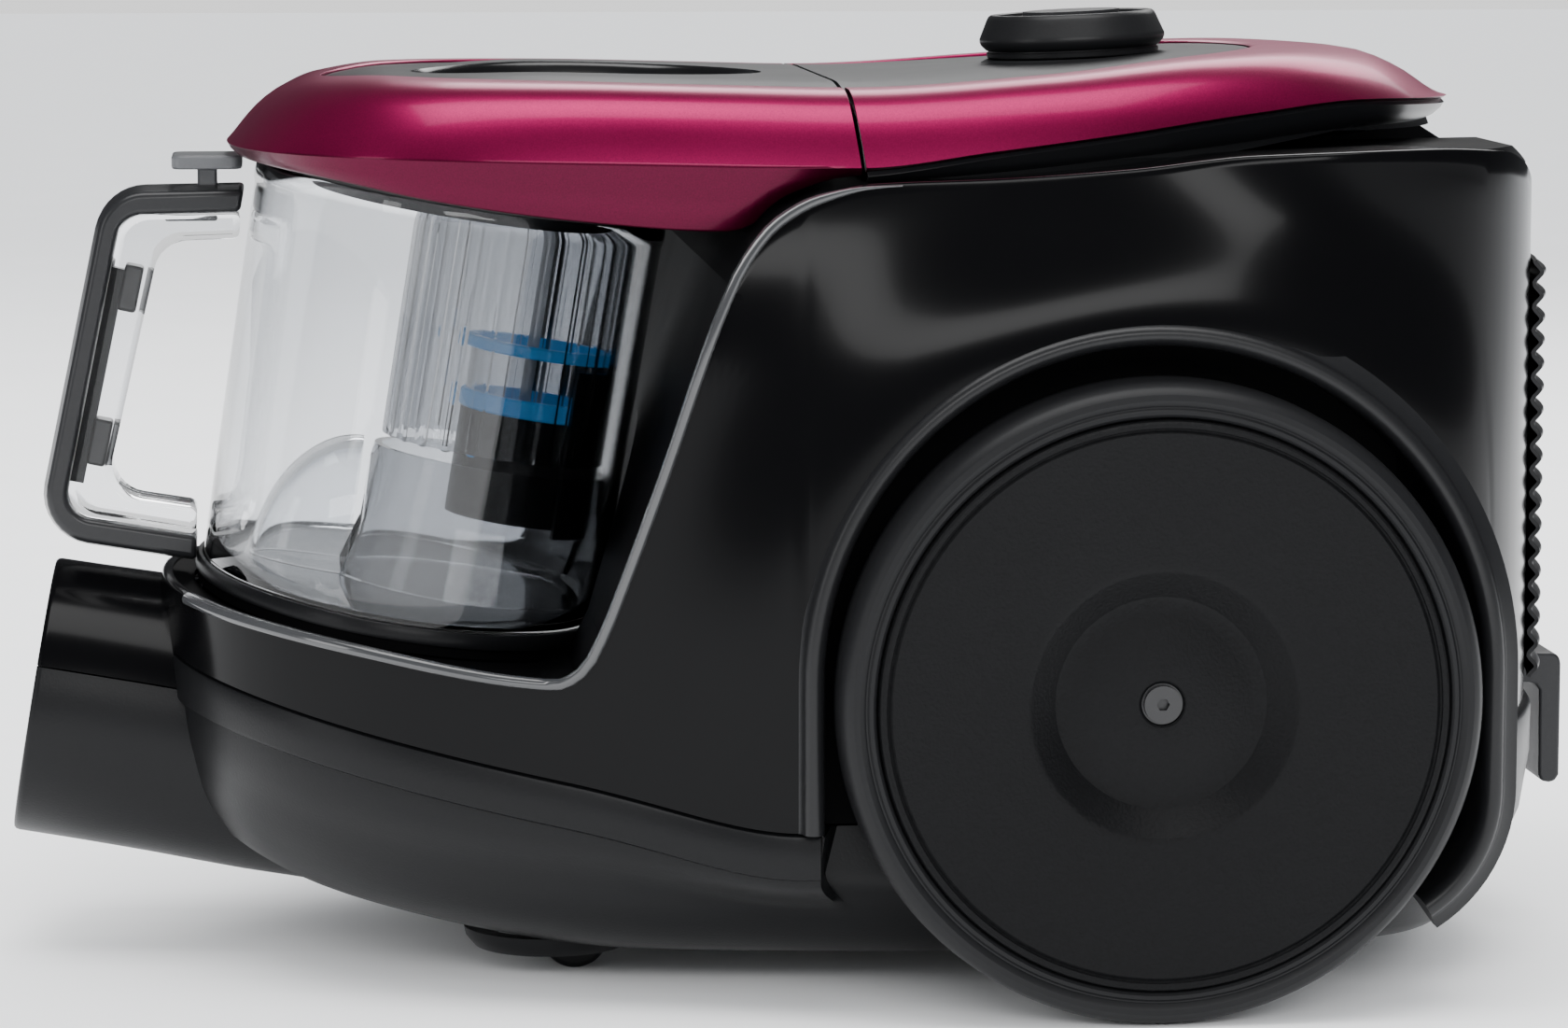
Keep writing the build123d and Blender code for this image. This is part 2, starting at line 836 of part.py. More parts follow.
with BuildPart() as axle_screws:
    for side in sides.values():
        face = wheel_face(side)
        with BuildSketch(face.offset(dish_depth + clearance)):
            Circle(wheel_screw_r)
            RegularPolygon(1.6, 6, mode=Mode.SUBTRACT)
        extrude(amount=wheel_screw_h - clearance)
save(axle_screws.part, "axle_screws")

# ---------------------------------------------------------------- castors
def span(side, reach):
    """Both ends of a castor's cross piece that reaches this far either side of its middle."""
    return side * castor_y - reach, side * castor_y + reach


for side_name, side in sides.items():
    roll_x = castor_x + castor_trail
    fork_top = castor_well_top - 1
    fork_floor = 2 * castor_r + 1
    fork_y = castor_w / 2 + clearance + fork_wall
    with BuildPart() as fork:
        with Locations((roll_x, side * castor_y, castor_r - 3)):
            leg_h = fork_top - castor_r + 3
            Box(2 * castor_r - 4, 2 * fork_y, leg_h, align=(Align.CENTER, Align.CENTER, Align.MIN))
        with Locations((castor_x, side * castor_y, fork_floor)):
            Cylinder(fork_y + 4, fork_top - fork_floor, align=(Align.CENTER, Align.CENTER, Align.MIN))
        with Locations((castor_x, side * castor_y, fork_top)):
            Cylinder(castor_stem_r, castor_stem_l, align=(Align.CENTER, Align.CENTER, Align.MIN))
        with Locations((roll_x, side * castor_y, 0)):
            Box(60, castor_w + 2 * clearance, 2 * fork_floor, mode=Mode.SUBTRACT)
        add(cross_cylinder(roll_x, castor_r, castor_pin_r, *span(side, 20)), mode=Mode.SUBTRACT)
    save(fork.part, f"castor_fork_{side_name}")
    with BuildPart() as pin:
        add(cross_cylinder(roll_x, castor_r, castor_pin_r, *span(side, fork_y)))
    save(pin.part, f"castor_pin_{side_name}")
    with BuildPart() as roller:
        add(cross_cylinder(roll_x, castor_r, castor_r, *span(side, castor_w / 2)))
        fillet(roller.edges().filter_by(GeomType.CIRCLE), radius=1.5)
        add(cross_cylinder(roll_x, castor_r, castor_pin_r + running, *span(side, 20)), mode=Mode.SUBTRACT)
    save(roller.part, f"castor_wheel_{side_name}")


# ---------------------------------------------------------------- bin
handle_outer = [(-125, 194.5), (-172, 194), (-190.5, 107), (-140, 98.5)]
handle_inner = [(-125, 182.3), (-158.5, 182), (-174.5, 111), (-140, 108.5)]
leg_lean = Vector(-sin(radians(handle_lean)), 0, -cos(radians(handle_lean)))


def handle_loop(points, radius, inset, half):
    """Rounded band outline of the handle in the side view, as a solid across the machine."""
    with BuildPart() as loop:
        with BuildSketch(Plane.XZ.offset(-half)) as outline:
            with BuildLine():
                Polyline(points, close=True)
            make_face()
            corners = outline.vertices().sort_by(Axis.X)[:2]
            fillet(corners, radius=radius)
            if inset:
                offset(amount=-inset, kind=Kind.INTERSECTION)
        extrude(amount=2 * half)
    return loop.part


loop_out = handle_loop(handle_outer, 11, 0, handle_w / 2)
loop_mid = handle_loop(handle_outer, 11, cover_t, handle_w / 2)
loop_in = handle_loop(handle_inner, 8, 0, handle_w)
rod_plane = Plane(origin=(-174.6, 0, 147.0), x_dir=(0, 1, 0), z_dir=leg_lean)
rod_l = 56.0

tub_out = bin_tub(0, 0, bin_h)
tub_in = bin_tub(-bin_wall, bin_floor, bin_h + 5)
with BuildPart() as rod_channel:
    with BuildSketch(rod_plane.offset(-rod_l / 2 - 3)):
        Rectangle(rod_w + 2 * clearance + 1, rod_t + 2 * clearance + 1)
    extrude(amount=rod_l + 6 + button_travel)

with BuildPart() as clear_bin:
    add(loop_mid)
    add(loop_in, mode=Mode.SUBTRACT)
    add(tub_out)
    add(tub_in, mode=Mode.SUBTRACT)
    add(bin_cylinder(port_at, port_r, -10, bin_floor + 5), mode=Mode.SUBTRACT)
    add(rod_channel.part, mode=Mode.SUBTRACT)
    with Locations((stem_x - 7.5, 0, arm_z - button_travel - clearance)):
        Box(24, 9, 11, align=(Align.CENTER, Align.CENTER, Align.MIN), mode=Mode.SUBTRACT)
save(clear_bin.part, "clear_bin")

with BuildPart() as handle_cover:
    add(loop_out)
    add(loop_mid, mode=Mode.SUBTRACT)
    add(bin_tub(0, -10, bin_h + 20), mode=Mode.SUBTRACT)
    with Locations((stem_x, 0, 190)):
        Box(7, 9, 20, mode=Mode.SUBTRACT)
save(handle_cover.part, "handle_cover")

with BuildPart() as release_button:
    with Locations((stem_x, 0, 200)):
        Box(18, button_w, 3.5, align=(Align.CENTER, Align.CENTER, Align.MIN))
    fillet(release_button.edges().filter_by(Axis.Z), radius=3)
    with Locations((stem_x, 0, arm_z)):
        Box(5, 7, 200 - arm_z, align=(Align.CENTER, Align.CENTER, Align.MIN))
    with Locations((stem_x - 5.5, 0, arm_z)):
        Box(11, 7, 1.6, align=(Align.CENTER, Align.CENTER, Align.MIN))
save(release_button.part, "release_button")

with BuildPart() as release_rod:
    with BuildSketch(rod_plane.offset(-rod_l / 2)):
        Rectangle(rod_w, rod_t)
    extrude(amount=rod_l)
save(release_rod.part, "release_rod")

with BuildPart() as bin_base:
    add(bin_tub(base_rim, -base_ring_h, 0))
    add(bin_tub(-9, -base_ring_h - 1, -1.5), mode=Mode.SUBTRACT)
    add(bin_cylinder(port_at, port_r + 6, -base_ring_h, -0.5))
    add(bin_cylinder(port_at, port_r, -10, 5), mode=Mode.SUBTRACT)
save(bin_base.part, "bin_base")

volute_points = [(-41, 0), (-40, 9), (-34, 25), (-25, 36), (-15.5, 40), (-15.5, 0)]
volute_half = 16.0
volute_wall = 2.0


def volute_form(inset):
    """Dome over the dirty-air port, in the bin's frame."""
    across = Plane(origin=bin_plane.origin, x_dir=bin_plane.x_dir, z_dir=(0, -1, 0))
    with BuildPart() as dome:
        with BuildSketch(across.offset(-volute_half + inset)):
            with BuildLine():
                Polyline(volute_points, close=True)
            make_face()
            if inset:
                offset(amount=-inset, kind=Kind.INTERSECTION)
        extrude(amount=2 * (volute_half - inset))
    return dome.part


with BuildPart() as inlet_volute:
    add(volute_form(0))
    add(volute_form(volute_wall), mode=Mode.SUBTRACT)
    with BuildSketch(bin_plane):
        with Locations((-27, 0)):
            Rectangle(24, 2 * volute_half - 4)
    extrude(amount=9, mode=Mode.SUBTRACT)
    with BuildSketch(bin_plane.offset(8)):
        with Locations((-15, 0)):
            Rectangle(8, 2 * volute_half - 4)
    extrude(amount=27, mode=Mode.SUBTRACT)
    add(bin_tub(10, -5, bin_floor), mode=Mode.SUBTRACT)
save(inlet_volute.part, "inlet_volute")

skirt_plane = Plane(
    origin=bin_plane.from_local_coords(Vector(cyclone_at, 0, 0)), x_dir=bin_plane.x_dir, z_dir=(0, -1, 0)
)
skirt_axis = Axis(skirt_plane.origin, bin_plane.z_dir)
with BuildPart() as skirt_cone:
    with BuildSketch(skirt_plane):
        with BuildLine():
            Polyline(
                (skirt_r, bin_floor),
                (skirt_mid_r, skirt_mid_h),
                (skirt_top_r, skirt_top_h),
                (skirt_top_r - cyclone_wall, skirt_top_h),
                (skirt_mid_r - cyclone_wall, skirt_mid_h),
                (skirt_r - cyclone_wall, bin_floor),
                close=True,
            )
        make_face()
    revolve(axis=skirt_axis)
    add(bin_tub(-bin_wall - clearance, 0, bin_h), mode=Mode.INTERSECT)
    with BuildSketch(bin_plane):
        with Locations((-27, 0)):
            Rectangle(28, 2 * volute_half + 2 * clearance)
    extrude(amount=bin_h, mode=Mode.SUBTRACT)
save(skirt_cone.part, "skirt_cone")

# ---------------------------------------------------------------- lid and cyclone
with BuildPart() as bin_lid:
    add(ring_outer)
    add(ring_inner, mode=Mode.SUBTRACT)
    add(deck_prism(0), mode=Mode.SUBTRACT)
    add(front_side, mode=Mode.INTERSECT)
save(bin_lid.part, "bin_lid")

with BuildPart() as lid_deck:
    add(deck_plate)
    add(deck_prism(clearance / 2), mode=Mode.INTERSECT)
    add(front_side, mode=Mode.INTERSECT)
    with BuildSketch(Plane.XY.offset(226)):
        with Locations((scoop_x, 0)):
            Ellipse(scoop_a, scoop_b)
    extrude(amount=-4 - scoop_depth)
    add(ring_block(deck_drop), mode=Mode.INTERSECT)
    with BuildSketch(Plane.XY.offset(226)):
        with Locations((scoop_x, 0)):
            Ellipse(scoop_a - deck_t, scoop_b - deck_t)
    extrude(amount=-4 - scoop_depth + deck_t, mode=Mode.SUBTRACT)
save(lid_deck.part, "lid_deck")

plate_low = bin_h + clearance + lid_seal_t
rim_grow = bin_h * tan(radians(bin_draft))
post_spots = [(x, y) for x in (-96, -66) for y in (-76, 76)]
with BuildPart() as lid_plate:
    with BuildSketch(bin_plane.offset(plate_low)):
        Ellipse(bin_a + rim_grow, bin_b + rim_grow)
    extrude(amount=lid_plate_t)
    with BuildSketch(bin_plane.offset(bin_h - plug_depth)):
        plug = rim_grow - bin_wall - plug_gap
        Ellipse(bin_a + plug, bin_b + plug)
        Ellipse(bin_a + plug - plug_t, bin_b + plug - plug_t, mode=Mode.SUBTRACT)
    extrude(amount=plate_low - bin_h + plug_depth)
    for x, y in post_spots:
        add(upright(x, y, cradle_z(x, plate_low + 1), post_side_r, 40))
    add(ring_inner, mode=Mode.INTERSECT)
    add(bin_cylinder(cyclone_at, cyclone_r + clearance, 0, plate_low), mode=Mode.SUBTRACT)
    for along in (cyclone_at - 17, cyclone_at + 17):
        add(bin_cylinder(along, 7, plate_low - 1, plate_low + 20), mode=Mode.SUBTRACT)
save(lid_plate.part, "lid_plate")

with BuildPart() as lid_seal:
    with BuildSketch(bin_plane.offset(bin_h + clearance)):
        Ellipse(bin_a + rim_grow - 0.2, bin_b + rim_grow - 0.2)
        Ellipse(bin_a + rim_grow - bin_wall + 0.2, bin_b + rim_grow - bin_wall + 0.2, mode=Mode.SUBTRACT)
    extrude(amount=lid_seal_t)
save(lid_seal.part, "lid_seal")


def bin_tube(along, radius, thick, low, high):
    """Tube parallel to the bin's axis."""
    with BuildPart() as tube:
        with BuildSketch(bin_plane.offset(low)):
            with Locations((along, 0)):
                Circle(radius)
                Circle(radius - thick, mode=Mode.SUBTRACT)
        extrude(amount=high - low)
    return tube.part


save(bin_tube(cyclone_at, cyclone_r, cyclone_wall, cyclone_low, plate_low), "cyclone_tube")

with BuildPart() as turbine_cup:
    add(bin_tube(turbine_at, turbine_r, cyclone_wall, turbine_low, cup_top))
    add(bin_cylinder(turbine_at, turbine_r, turbine_low, turbine_low + 2))
    add(bin_cylinder(turbine_at, spindle_r, turbine_low, turbine_low + 2), mode=Mode.SUBTRACT)
    for turn in range(6):
        angle = radians(60 * turn)
        spot = (turbine_at + 11 * cos(angle), 11 * sin(angle))
        with BuildSketch(bin_plane.offset(turbine_low)):
            with Locations(spot):
                Circle(3)
        extrude(amount=3, mode=Mode.SUBTRACT)
save(turbine_cup.part, "turbine_cup")

save(bin_tube(turbine_at, turbine_r + 0.4, 2.4, cup_top, band_top), "blue_band")
save(bin_tube(turbine_at, turbine_r - 0.4, 1.4, band_top, window_top), "turbine_window")
with BuildPart() as blue_ring:
    add(bin_tube(turbine_at, turbine_r + 0.6, 3.0, window_top, window_top + blue_ring_h))
    with BuildSketch(bin_plane.offset(window_top)):
        with Locations((turbine_at, 0)):
            Rectangle(2 * turbine_r, 2.4)
            Rectangle(2.4, 2 * turbine_r)
            Circle(5)
    extrude(amount=blue_ring_h)
    add(bin_cylinder(turbine_at, spindle_r, 0, bin_h), mode=Mode.SUBTRACT)
save(blue_ring.part, "blue_ring")
save(bin_cylinder(turbine_at, spindle_r, turbine_low, plate_low), "turbine_spindle")

rotor_low = turbine_low + 5
rotor_h = cup_top - rotor_low - 3
with BuildPart() as turbine_rotor:
    add(bin_cylinder(turbine_at, 6, rotor_low, rotor_low + rotor_h))
    for turn in range(blade_count):
        angle = 360 / blade_count * turn
        with BuildSketch(bin_plane.offset(rotor_low)):
            with Locations(Location((turbine_at, 0, 0), (0, 0, angle))):
                Rectangle(turbine_r - cyclone_wall - 1, 1.2, align=(Align.MIN, Align.CENTER))
        extrude(amount=rotor_h)
    add(bin_cylinder(turbine_at, spindle_r + running, 0, bin_h), mode=Mode.SUBTRACT)
save(turbine_rotor.part, "turbine_rotor")

# ---------------------------------------------------------------- motor
motor_front = motor_y + motor_l / 2
motor_back = motor_y - motor_l / 2
with BuildPart() as motor_housing:
    add(cross_cylinder(motor_x, motor_z, motor_r, motor_back, motor_front))
    add(cross_cylinder(motor_x, motor_z, motor_r - wall, motor_back + wall, motor_front + 1), mode=Mode.SUBTRACT)
    add(cross_cylinder(motor_x + 20, motor_z, 8, motor_back - 1, motor_back + 5), mode=Mode.SUBTRACT)
    add(cross_cylinder(motor_x - 20, motor_z, 8, motor_back - 1, motor_back + 5), mode=Mode.SUBTRACT)
save(motor_housing.part, "motor_housing")

mount_t = 6.0
can_back = motor_back + wall + mount_t
with BuildPart() as motor_mounts:
    add(cross_cylinder(motor_x, motor_z, can_r - 4, motor_back + wall, can_back))
    add(cross_cylinder(motor_x, motor_z, can_r - 12, motor_back, can_back + 1), mode=Mode.SUBTRACT)
    add(cross_cylinder(motor_x, motor_z, motor_r - wall, can_back + can_l - 8, can_back + can_l))
    add(cross_cylinder(motor_x, motor_z, can_r, motor_back, motor_front), mode=Mode.SUBTRACT)
    add(cross_cylinder(motor_x, motor_z, can_r - 4, motor_back + wall, can_back))
    add(cross_cylinder(motor_x, motor_z, can_r - 12, motor_back, can_back + 1), mode=Mode.SUBTRACT)
save(motor_mounts.part, "motor_mounts")

with BuildPart() as motor_can:
    add(cross_cylinder(motor_x, motor_z, can_r, can_back, can_back + can_l))
    can_front = can_back + can_l
    add(cross_cylinder(motor_x, motor_z, can_r - 2, can_back + 2, can_front - 2), mode=Mode.SUBTRACT)
    add(cross_cylinder(motor_x, motor_z, shaft_r + running, can_back + 1, motor_front), mode=Mode.SUBTRACT)
save(motor_can.part, "motor_can")

fan_low = can_back + can_l + 3
with BuildPart() as motor_rotor:
    add(cross_cylinder(motor_x, motor_z, shaft_r, can_back + 2, fan_low + fan_t))
    add(cross_cylinder(motor_x, motor_z, can_r - 12, can_back + 6, can_back + can_l - 6))
    add(cross_cylinder(motor_x, motor_z, impeller_r, fan_low, fan_low + 2))
    for turn in range(vane_count):
        hub = Plane.XZ.offset(-fan_low - fan_t)
        with BuildSketch(hub):
            with Locations(Location((motor_x, motor_z, 0), (0, 0, 360 / vane_count * turn))):
                Rectangle(impeller_r - 1, 1.6, align=(Align.MIN, Align.CENTER))
        extrude(amount=fan_t - 1)
save(motor_rotor.part, "motor_rotor")

with BuildPart() as fan_shroud:
    add(cross_cylinder(motor_x, motor_z, motor_r - wall, fan_low - 2, motor_front))
    add(cross_cylinder(motor_x, motor_z, impeller_r + 1.5, fan_low - 3, fan_low + fan_t + 1.5), mode=Mode.SUBTRACT)
    add(cross_cylinder(motor_x, motor_z, 14, fan_low, motor_front + 1), mode=Mode.SUBTRACT)
save(fan_shroud.part, "fan_shroud")

intake_t = 10.0
with BuildPart() as intake_filter:
    add(cross_cylinder(motor_x, motor_z, motor_r - wall, motor_front, motor_front + intake_t))
save(intake_filter.part, "intake_filter")

with BuildPart() as control_board:
    with Locations((69, 0, board_z - 1.6)):
        Box(62, 44, 1.6, align=(Align.CENTER, Align.CENTER, Align.MIN))
    with Locations((60, 8, board_z - 1.6)):
        Box(16, 12, 12, align=(Align.CENTER, Align.CENTER, Align.MAX))
    with Locations((84, -8, board_z - 1.6)):
        Cylinder(6, 16, align=(Align.CENTER, Align.CENTER, Align.MAX))
save(control_board.part, "control_board")

# ---------------------------------------------------------------- cord reel
reel_low = reel_y - reel_w / 2
reel_high = reel_y + reel_w / 2
plate_y = reel_high + 1
floor_z = belly_z + wall
with BuildPart() as reel_frame:
    with BuildSketch(Plane.XZ.offset(-plate_y - frame_t)):
        with Locations((reel_x, floor_z)):
            Rectangle(70, reel_z + 20 - floor_z, align=(Align.CENTER, Align.MIN))
        with Locations((reel_x + 25, floor_z)):
            Rectangle(16, reel_z + reel_r + 16 - floor_z, align=(Align.CENTER, Align.MIN))
    extrude(amount=frame_t)
    add(cross_cylinder(reel_x, reel_z, reel_pin_r, reel_low - 3, plate_y))
    add(cross_cylinder(reel_x, reel_z, reel_pin_r + 3, reel_low - 4, reel_low - 1))
    add(cross_cylinder(reel_x + 25, reel_z + reel_r + 8, 2.5, reel_y - 6, plate_y))
    add(hollow.part, mode=Mode.INTERSECT)
save(reel_frame.part, "reel_frame")

with BuildPart() as reel_drum:
    add(cross_cylinder(reel_x, reel_z, reel_hub_r, reel_low, reel_high))
    add(cross_cylinder(reel_x, reel_z, reel_r, reel_low, reel_low + flange_t))
    add(cross_cylinder(reel_x, reel_z, reel_r, reel_high - flange_t, reel_high))
    add(cross_cylinder(reel_x, reel_z, reel_pin_r + running, reel_low - 1, reel_high + 1), mode=Mode.SUBTRACT)
save(reel_drum.part, "reel_drum")

with BuildPart() as brake_lever:
    with BuildSketch(Plane.XZ.offset(-reel_y - 5)):
        with Locations((reel_x + 25, reel_z + reel_r + 8)):
            Circle(5.5)
            Rectangle(46, 5, align=(Align.MAX, Align.CENTER))
            Circle(2.5 + running, mode=Mode.SUBTRACT)
    extrude(amount=8)
    with BuildSketch(Plane.XZ.offset(-reel_y - 5)):
        with Locations((reel_x - 14, reel_z + reel_r + 4.0)):
            Rectangle(10, 5)
    extrude(amount=8)
save(brake_lever.part, "brake_lever")
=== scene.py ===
import json
from math import cos, hypot, pi, radians, sin, sqrt, tan

import bmesh
import bpy
from mathutils import Matrix, Vector


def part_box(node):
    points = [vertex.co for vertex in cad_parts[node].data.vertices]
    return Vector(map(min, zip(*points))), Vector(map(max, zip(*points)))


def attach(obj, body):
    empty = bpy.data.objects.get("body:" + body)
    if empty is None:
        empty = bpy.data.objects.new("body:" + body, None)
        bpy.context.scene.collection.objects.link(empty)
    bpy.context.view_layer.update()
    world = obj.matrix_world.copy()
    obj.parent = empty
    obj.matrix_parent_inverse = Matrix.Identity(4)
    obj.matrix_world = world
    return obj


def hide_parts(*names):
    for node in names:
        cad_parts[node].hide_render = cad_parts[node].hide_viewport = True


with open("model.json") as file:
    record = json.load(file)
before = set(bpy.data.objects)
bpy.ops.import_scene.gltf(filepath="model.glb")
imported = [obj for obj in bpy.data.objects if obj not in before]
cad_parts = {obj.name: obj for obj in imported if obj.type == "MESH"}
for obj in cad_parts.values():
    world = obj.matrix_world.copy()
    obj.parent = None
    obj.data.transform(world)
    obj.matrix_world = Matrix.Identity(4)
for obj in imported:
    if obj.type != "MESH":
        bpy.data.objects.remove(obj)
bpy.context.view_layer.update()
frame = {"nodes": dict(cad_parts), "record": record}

# ---------------------------------------------------------------- camera and studio
# A long lens a little above the cleaner.  It stands on a pale floor in a white studio, under wide soft
# lamps that draw long highlights on its glossy shells.
turn, drop = radians(5.5), radians(7.14)
look = Vector((sin(turn) * cos(drop), cos(turn) * cos(drop), -sin(drop)))
camera_data = bpy.data.cameras.new("camera")
camera_data.lens = 121.2
camera = bpy.data.objects.new("camera", camera_data)
camera.location = (-0.1291, -1.362, 0.280)
camera.rotation_euler = look.to_track_quat("-Z", "Y").to_euler()
bpy.context.scene.collection.objects.link(camera)
bpy.context.scene.camera = camera


def soft_lamp(name, place, aim, width, height, watts):
    data = bpy.data.lights.new(name, "AREA")
    data.shape = "RECTANGLE"
    data.size, data.size_y = width, height
    data.energy = watts
    lamp = bpy.data.objects.new(name, data)
    lamp.location = place
    lamp.rotation_euler = (Vector(aim) - Vector(place)).to_track_quat("-Z", "Y").to_euler()
    bpy.context.scene.collection.objects.link(lamp)


soft_lamp("lamp_top", (-0.05, -0.35, 1.6), (0.0, 0.0, 0.1), width=1.6, height=0.8, watts=24.0)
soft_lamp("lamp_front", (0.05, -2.3, 1.15), (0.0, 0.0, 0.12), width=1.9, height=0.5, watts=24.0)
soft_lamp("lamp_snout", (-1.6, -0.8, 0.6), (-0.1, 0.0, 0.12), width=0.4, height=0.9, watts=5.0)
soft_lamp("lamp_rear", (0.5, 1.3, 1.2), (0.0, 0.0, 0.12), width=1.4, height=0.8, watts=20.0)

world = bpy.data.worlds.new("white_room")
bpy.context.scene.world = world
world.use_nodes = True
room = world.node_tree
walls = room.nodes["Background"]
walls.inputs["Color"].default_value = (0.95, 0.97, 1.0, 1)
walls.inputs["Strength"].default_value = 1.7
flags = room.nodes.new("ShaderNodeBackground")
flags.inputs["Color"].default_value = (0.9, 0.93, 1.0, 1)
flags.inputs["Strength"].default_value = 0.06
backdrop = room.nodes.new("ShaderNodeBackground")
backdrop.inputs["Strength"].default_value = 1.6
rays = room.nodes.new("ShaderNodeLightPath")
dim, bright = room.nodes.new("ShaderNodeMixShader"), room.nodes.new("ShaderNodeMixShader")
through = room.nodes.new("ShaderNodeMath")
through.operation = "MAXIMUM"
room.links.new(rays.outputs["Is Camera Ray"], through.inputs[0])
room.links.new(rays.outputs["Is Transmission Ray"], through.inputs[1])
room.links.new(rays.outputs["Is Glossy Ray"], dim.inputs["Fac"])
room.links.new(walls.outputs["Background"], dim.inputs[1])
room.links.new(flags.outputs["Background"], dim.inputs[2])
room.links.new(through.outputs["Value"], bright.inputs["Fac"])
room.links.new(dim.outputs["Shader"], bright.inputs[1])
room.links.new(backdrop.outputs["Background"], bright.inputs[2])
room.links.new(bright.outputs["Shader"], room.nodes["World Output"].inputs["Surface"])


def finish(name, color, roughness, scale=900.0, bump=0.00004, spread=0.03, tint=0.12, **more):
    """Moulded plastic: noise in the object's own coordinates gives it its fine grain and wear."""
    material = bpy.data.materials.new(name)
    material.use_nodes = True
    tree = material.node_tree
    shader = tree.nodes["Principled BSDF"]
    shader.inputs["Roughness"].default_value = roughness
    for socket, value in more.items():
        shader.inputs[socket.replace("_", " ")].default_value = value
    place = tree.nodes.new("ShaderNodeTexCoord")
    grain = tree.nodes.new("ShaderNodeTexNoise")
    grain.inputs["Scale"].default_value = scale
    grain.inputs["Detail"].default_value = 3
    tree.links.new(place.outputs["Object"], grain.inputs["Vector"])
    cloud = tree.nodes.new("ShaderNodeTexNoise")
    cloud.inputs["Scale"].default_value = 14
    cloud.inputs["Detail"].default_value = 4
    tree.links.new(place.outputs["Object"], cloud.inputs["Vector"])
    shade = tree.nodes.new("ShaderNodeMix")
    shade.data_type = "RGBA"
    shade.inputs[6].default_value = (*[c * (1 - tint) for c in color], 1)
    shade.inputs[7].default_value = (*[min(c * (1 + tint), 1) for c in color], 1)
    tree.links.new(grain.outputs["Fac"], shade.inputs["Factor"])
    tree.links.new(shade.outputs[2], shader.inputs["Base Color"])
    if spread:
        wear = tree.nodes.new("ShaderNodeMapRange")
        wear.inputs["From Min"].default_value = 0.3
        wear.inputs["From Max"].default_value = 0.7
        wear.inputs["To Min"].default_value = max(roughness - spread, 0)
        wear.inputs["To Max"].default_value = roughness + spread
        tree.links.new(cloud.outputs["Fac"], wear.inputs["Value"])
        tree.links.new(wear.outputs["Result"], shader.inputs["Roughness"])
    if bump:
        relief = tree.nodes.new("ShaderNodeBump")
        relief.inputs["Strength"].default_value = 0.7
        relief.inputs["Distance"].default_value = bump
        tree.links.new(grain.outputs["Fac"], relief.inputs["Height"])
        tree.links.new(relief.outputs["Normal"], shader.inputs["Normal"])
    return material


floor_mesh = bmesh.new()
bmesh.ops.create_grid(floor_mesh, x_segments=2, y_segments=2, size=8)
floor_data = bpy.data.meshes.new("floor")
floor_mesh.to_mesh(floor_data)
floor_mesh.free()
floor_data.materials.append(finish(
    "pale_floor", (0.95, 0.95, 0.95), 0.7, scale=40, bump=0, spread=0.05, tint=0.01,
    Specular_IOR_Level=0.1,
))
floor = bpy.data.objects.new("floor", floor_data)
bpy.context.scene.collection.objects.link(floor)

# ---------------------------------------------------------------- housings
# Two injection-moulded shells, screwed together from below: a black one with a polished skin above and
# a grained matt one below.  The polished side swells out to meet the wheel arch.
gloss_black = finish(
    "gloss_black", (0.002, 0.002, 0.0023), 0.17, scale=60, bump=0.000004, spread=0.02, tint=0.1,
    Specular_IOR_Level=0.1, Coat_Weight=0.03, Coat_Roughness=0.08,
)
matt_black = finish(
    "matt_black", (0.0045, 0.0047, 0.0053), 0.38, scale=1500, bump=0.00006, spread=0.04, tint=0.25,
    Specular_IOR_Level=0.19,
)
wheel_x, arch_z = 80.5, 83.0
arch_r, skin_r = 85.0, 84.5  # the wheel opening, and the edge of the skin round it
nose_x, middle_x, tail_x = -158, 60, 191
body_wide, belly_z = 113, 8.2
skin_out = 1.4  # how far the skin stands off the plan outline
well_front, well_rear, well_half = 0.5, 160.5, 104.5  # the lower shell stays inside the wheels here


def rail(points):
    """A smooth line through a few points that never overshoots them, as a height for any station."""
    spans = list(zip(points, points[1:]))
    rises = [(b[1] - a[1]) / (b[0] - a[0]) for a, b in spans]
    inner = [0 if p * q <= 0 else 2 * p * q / (p + q) for p, q in zip(rises, rises[1:])]
    slopes = [rises[0], *inner, rises[-1]]

    def height(x):
        if x <= points[0][0]:
            return points[0][1]
        if x >= points[-1][0]:
            return points[-1][1]
        k = max(i for i, (a, b) in enumerate(spans) if a[0] <= x)
        (x0, y0), (x1, y1) = spans[k]
        w = x1 - x0
        t = (x - x0) / w
        return (
            y0 * (1 + 2 * t) * (1 - t) ** 2 + slopes[k] * w * t * (1 - t) ** 2
            + y1 * t * t * (3 - 2 * t) - slopes[k + 1] * w * t * t * (1 - t)
        )

    return height


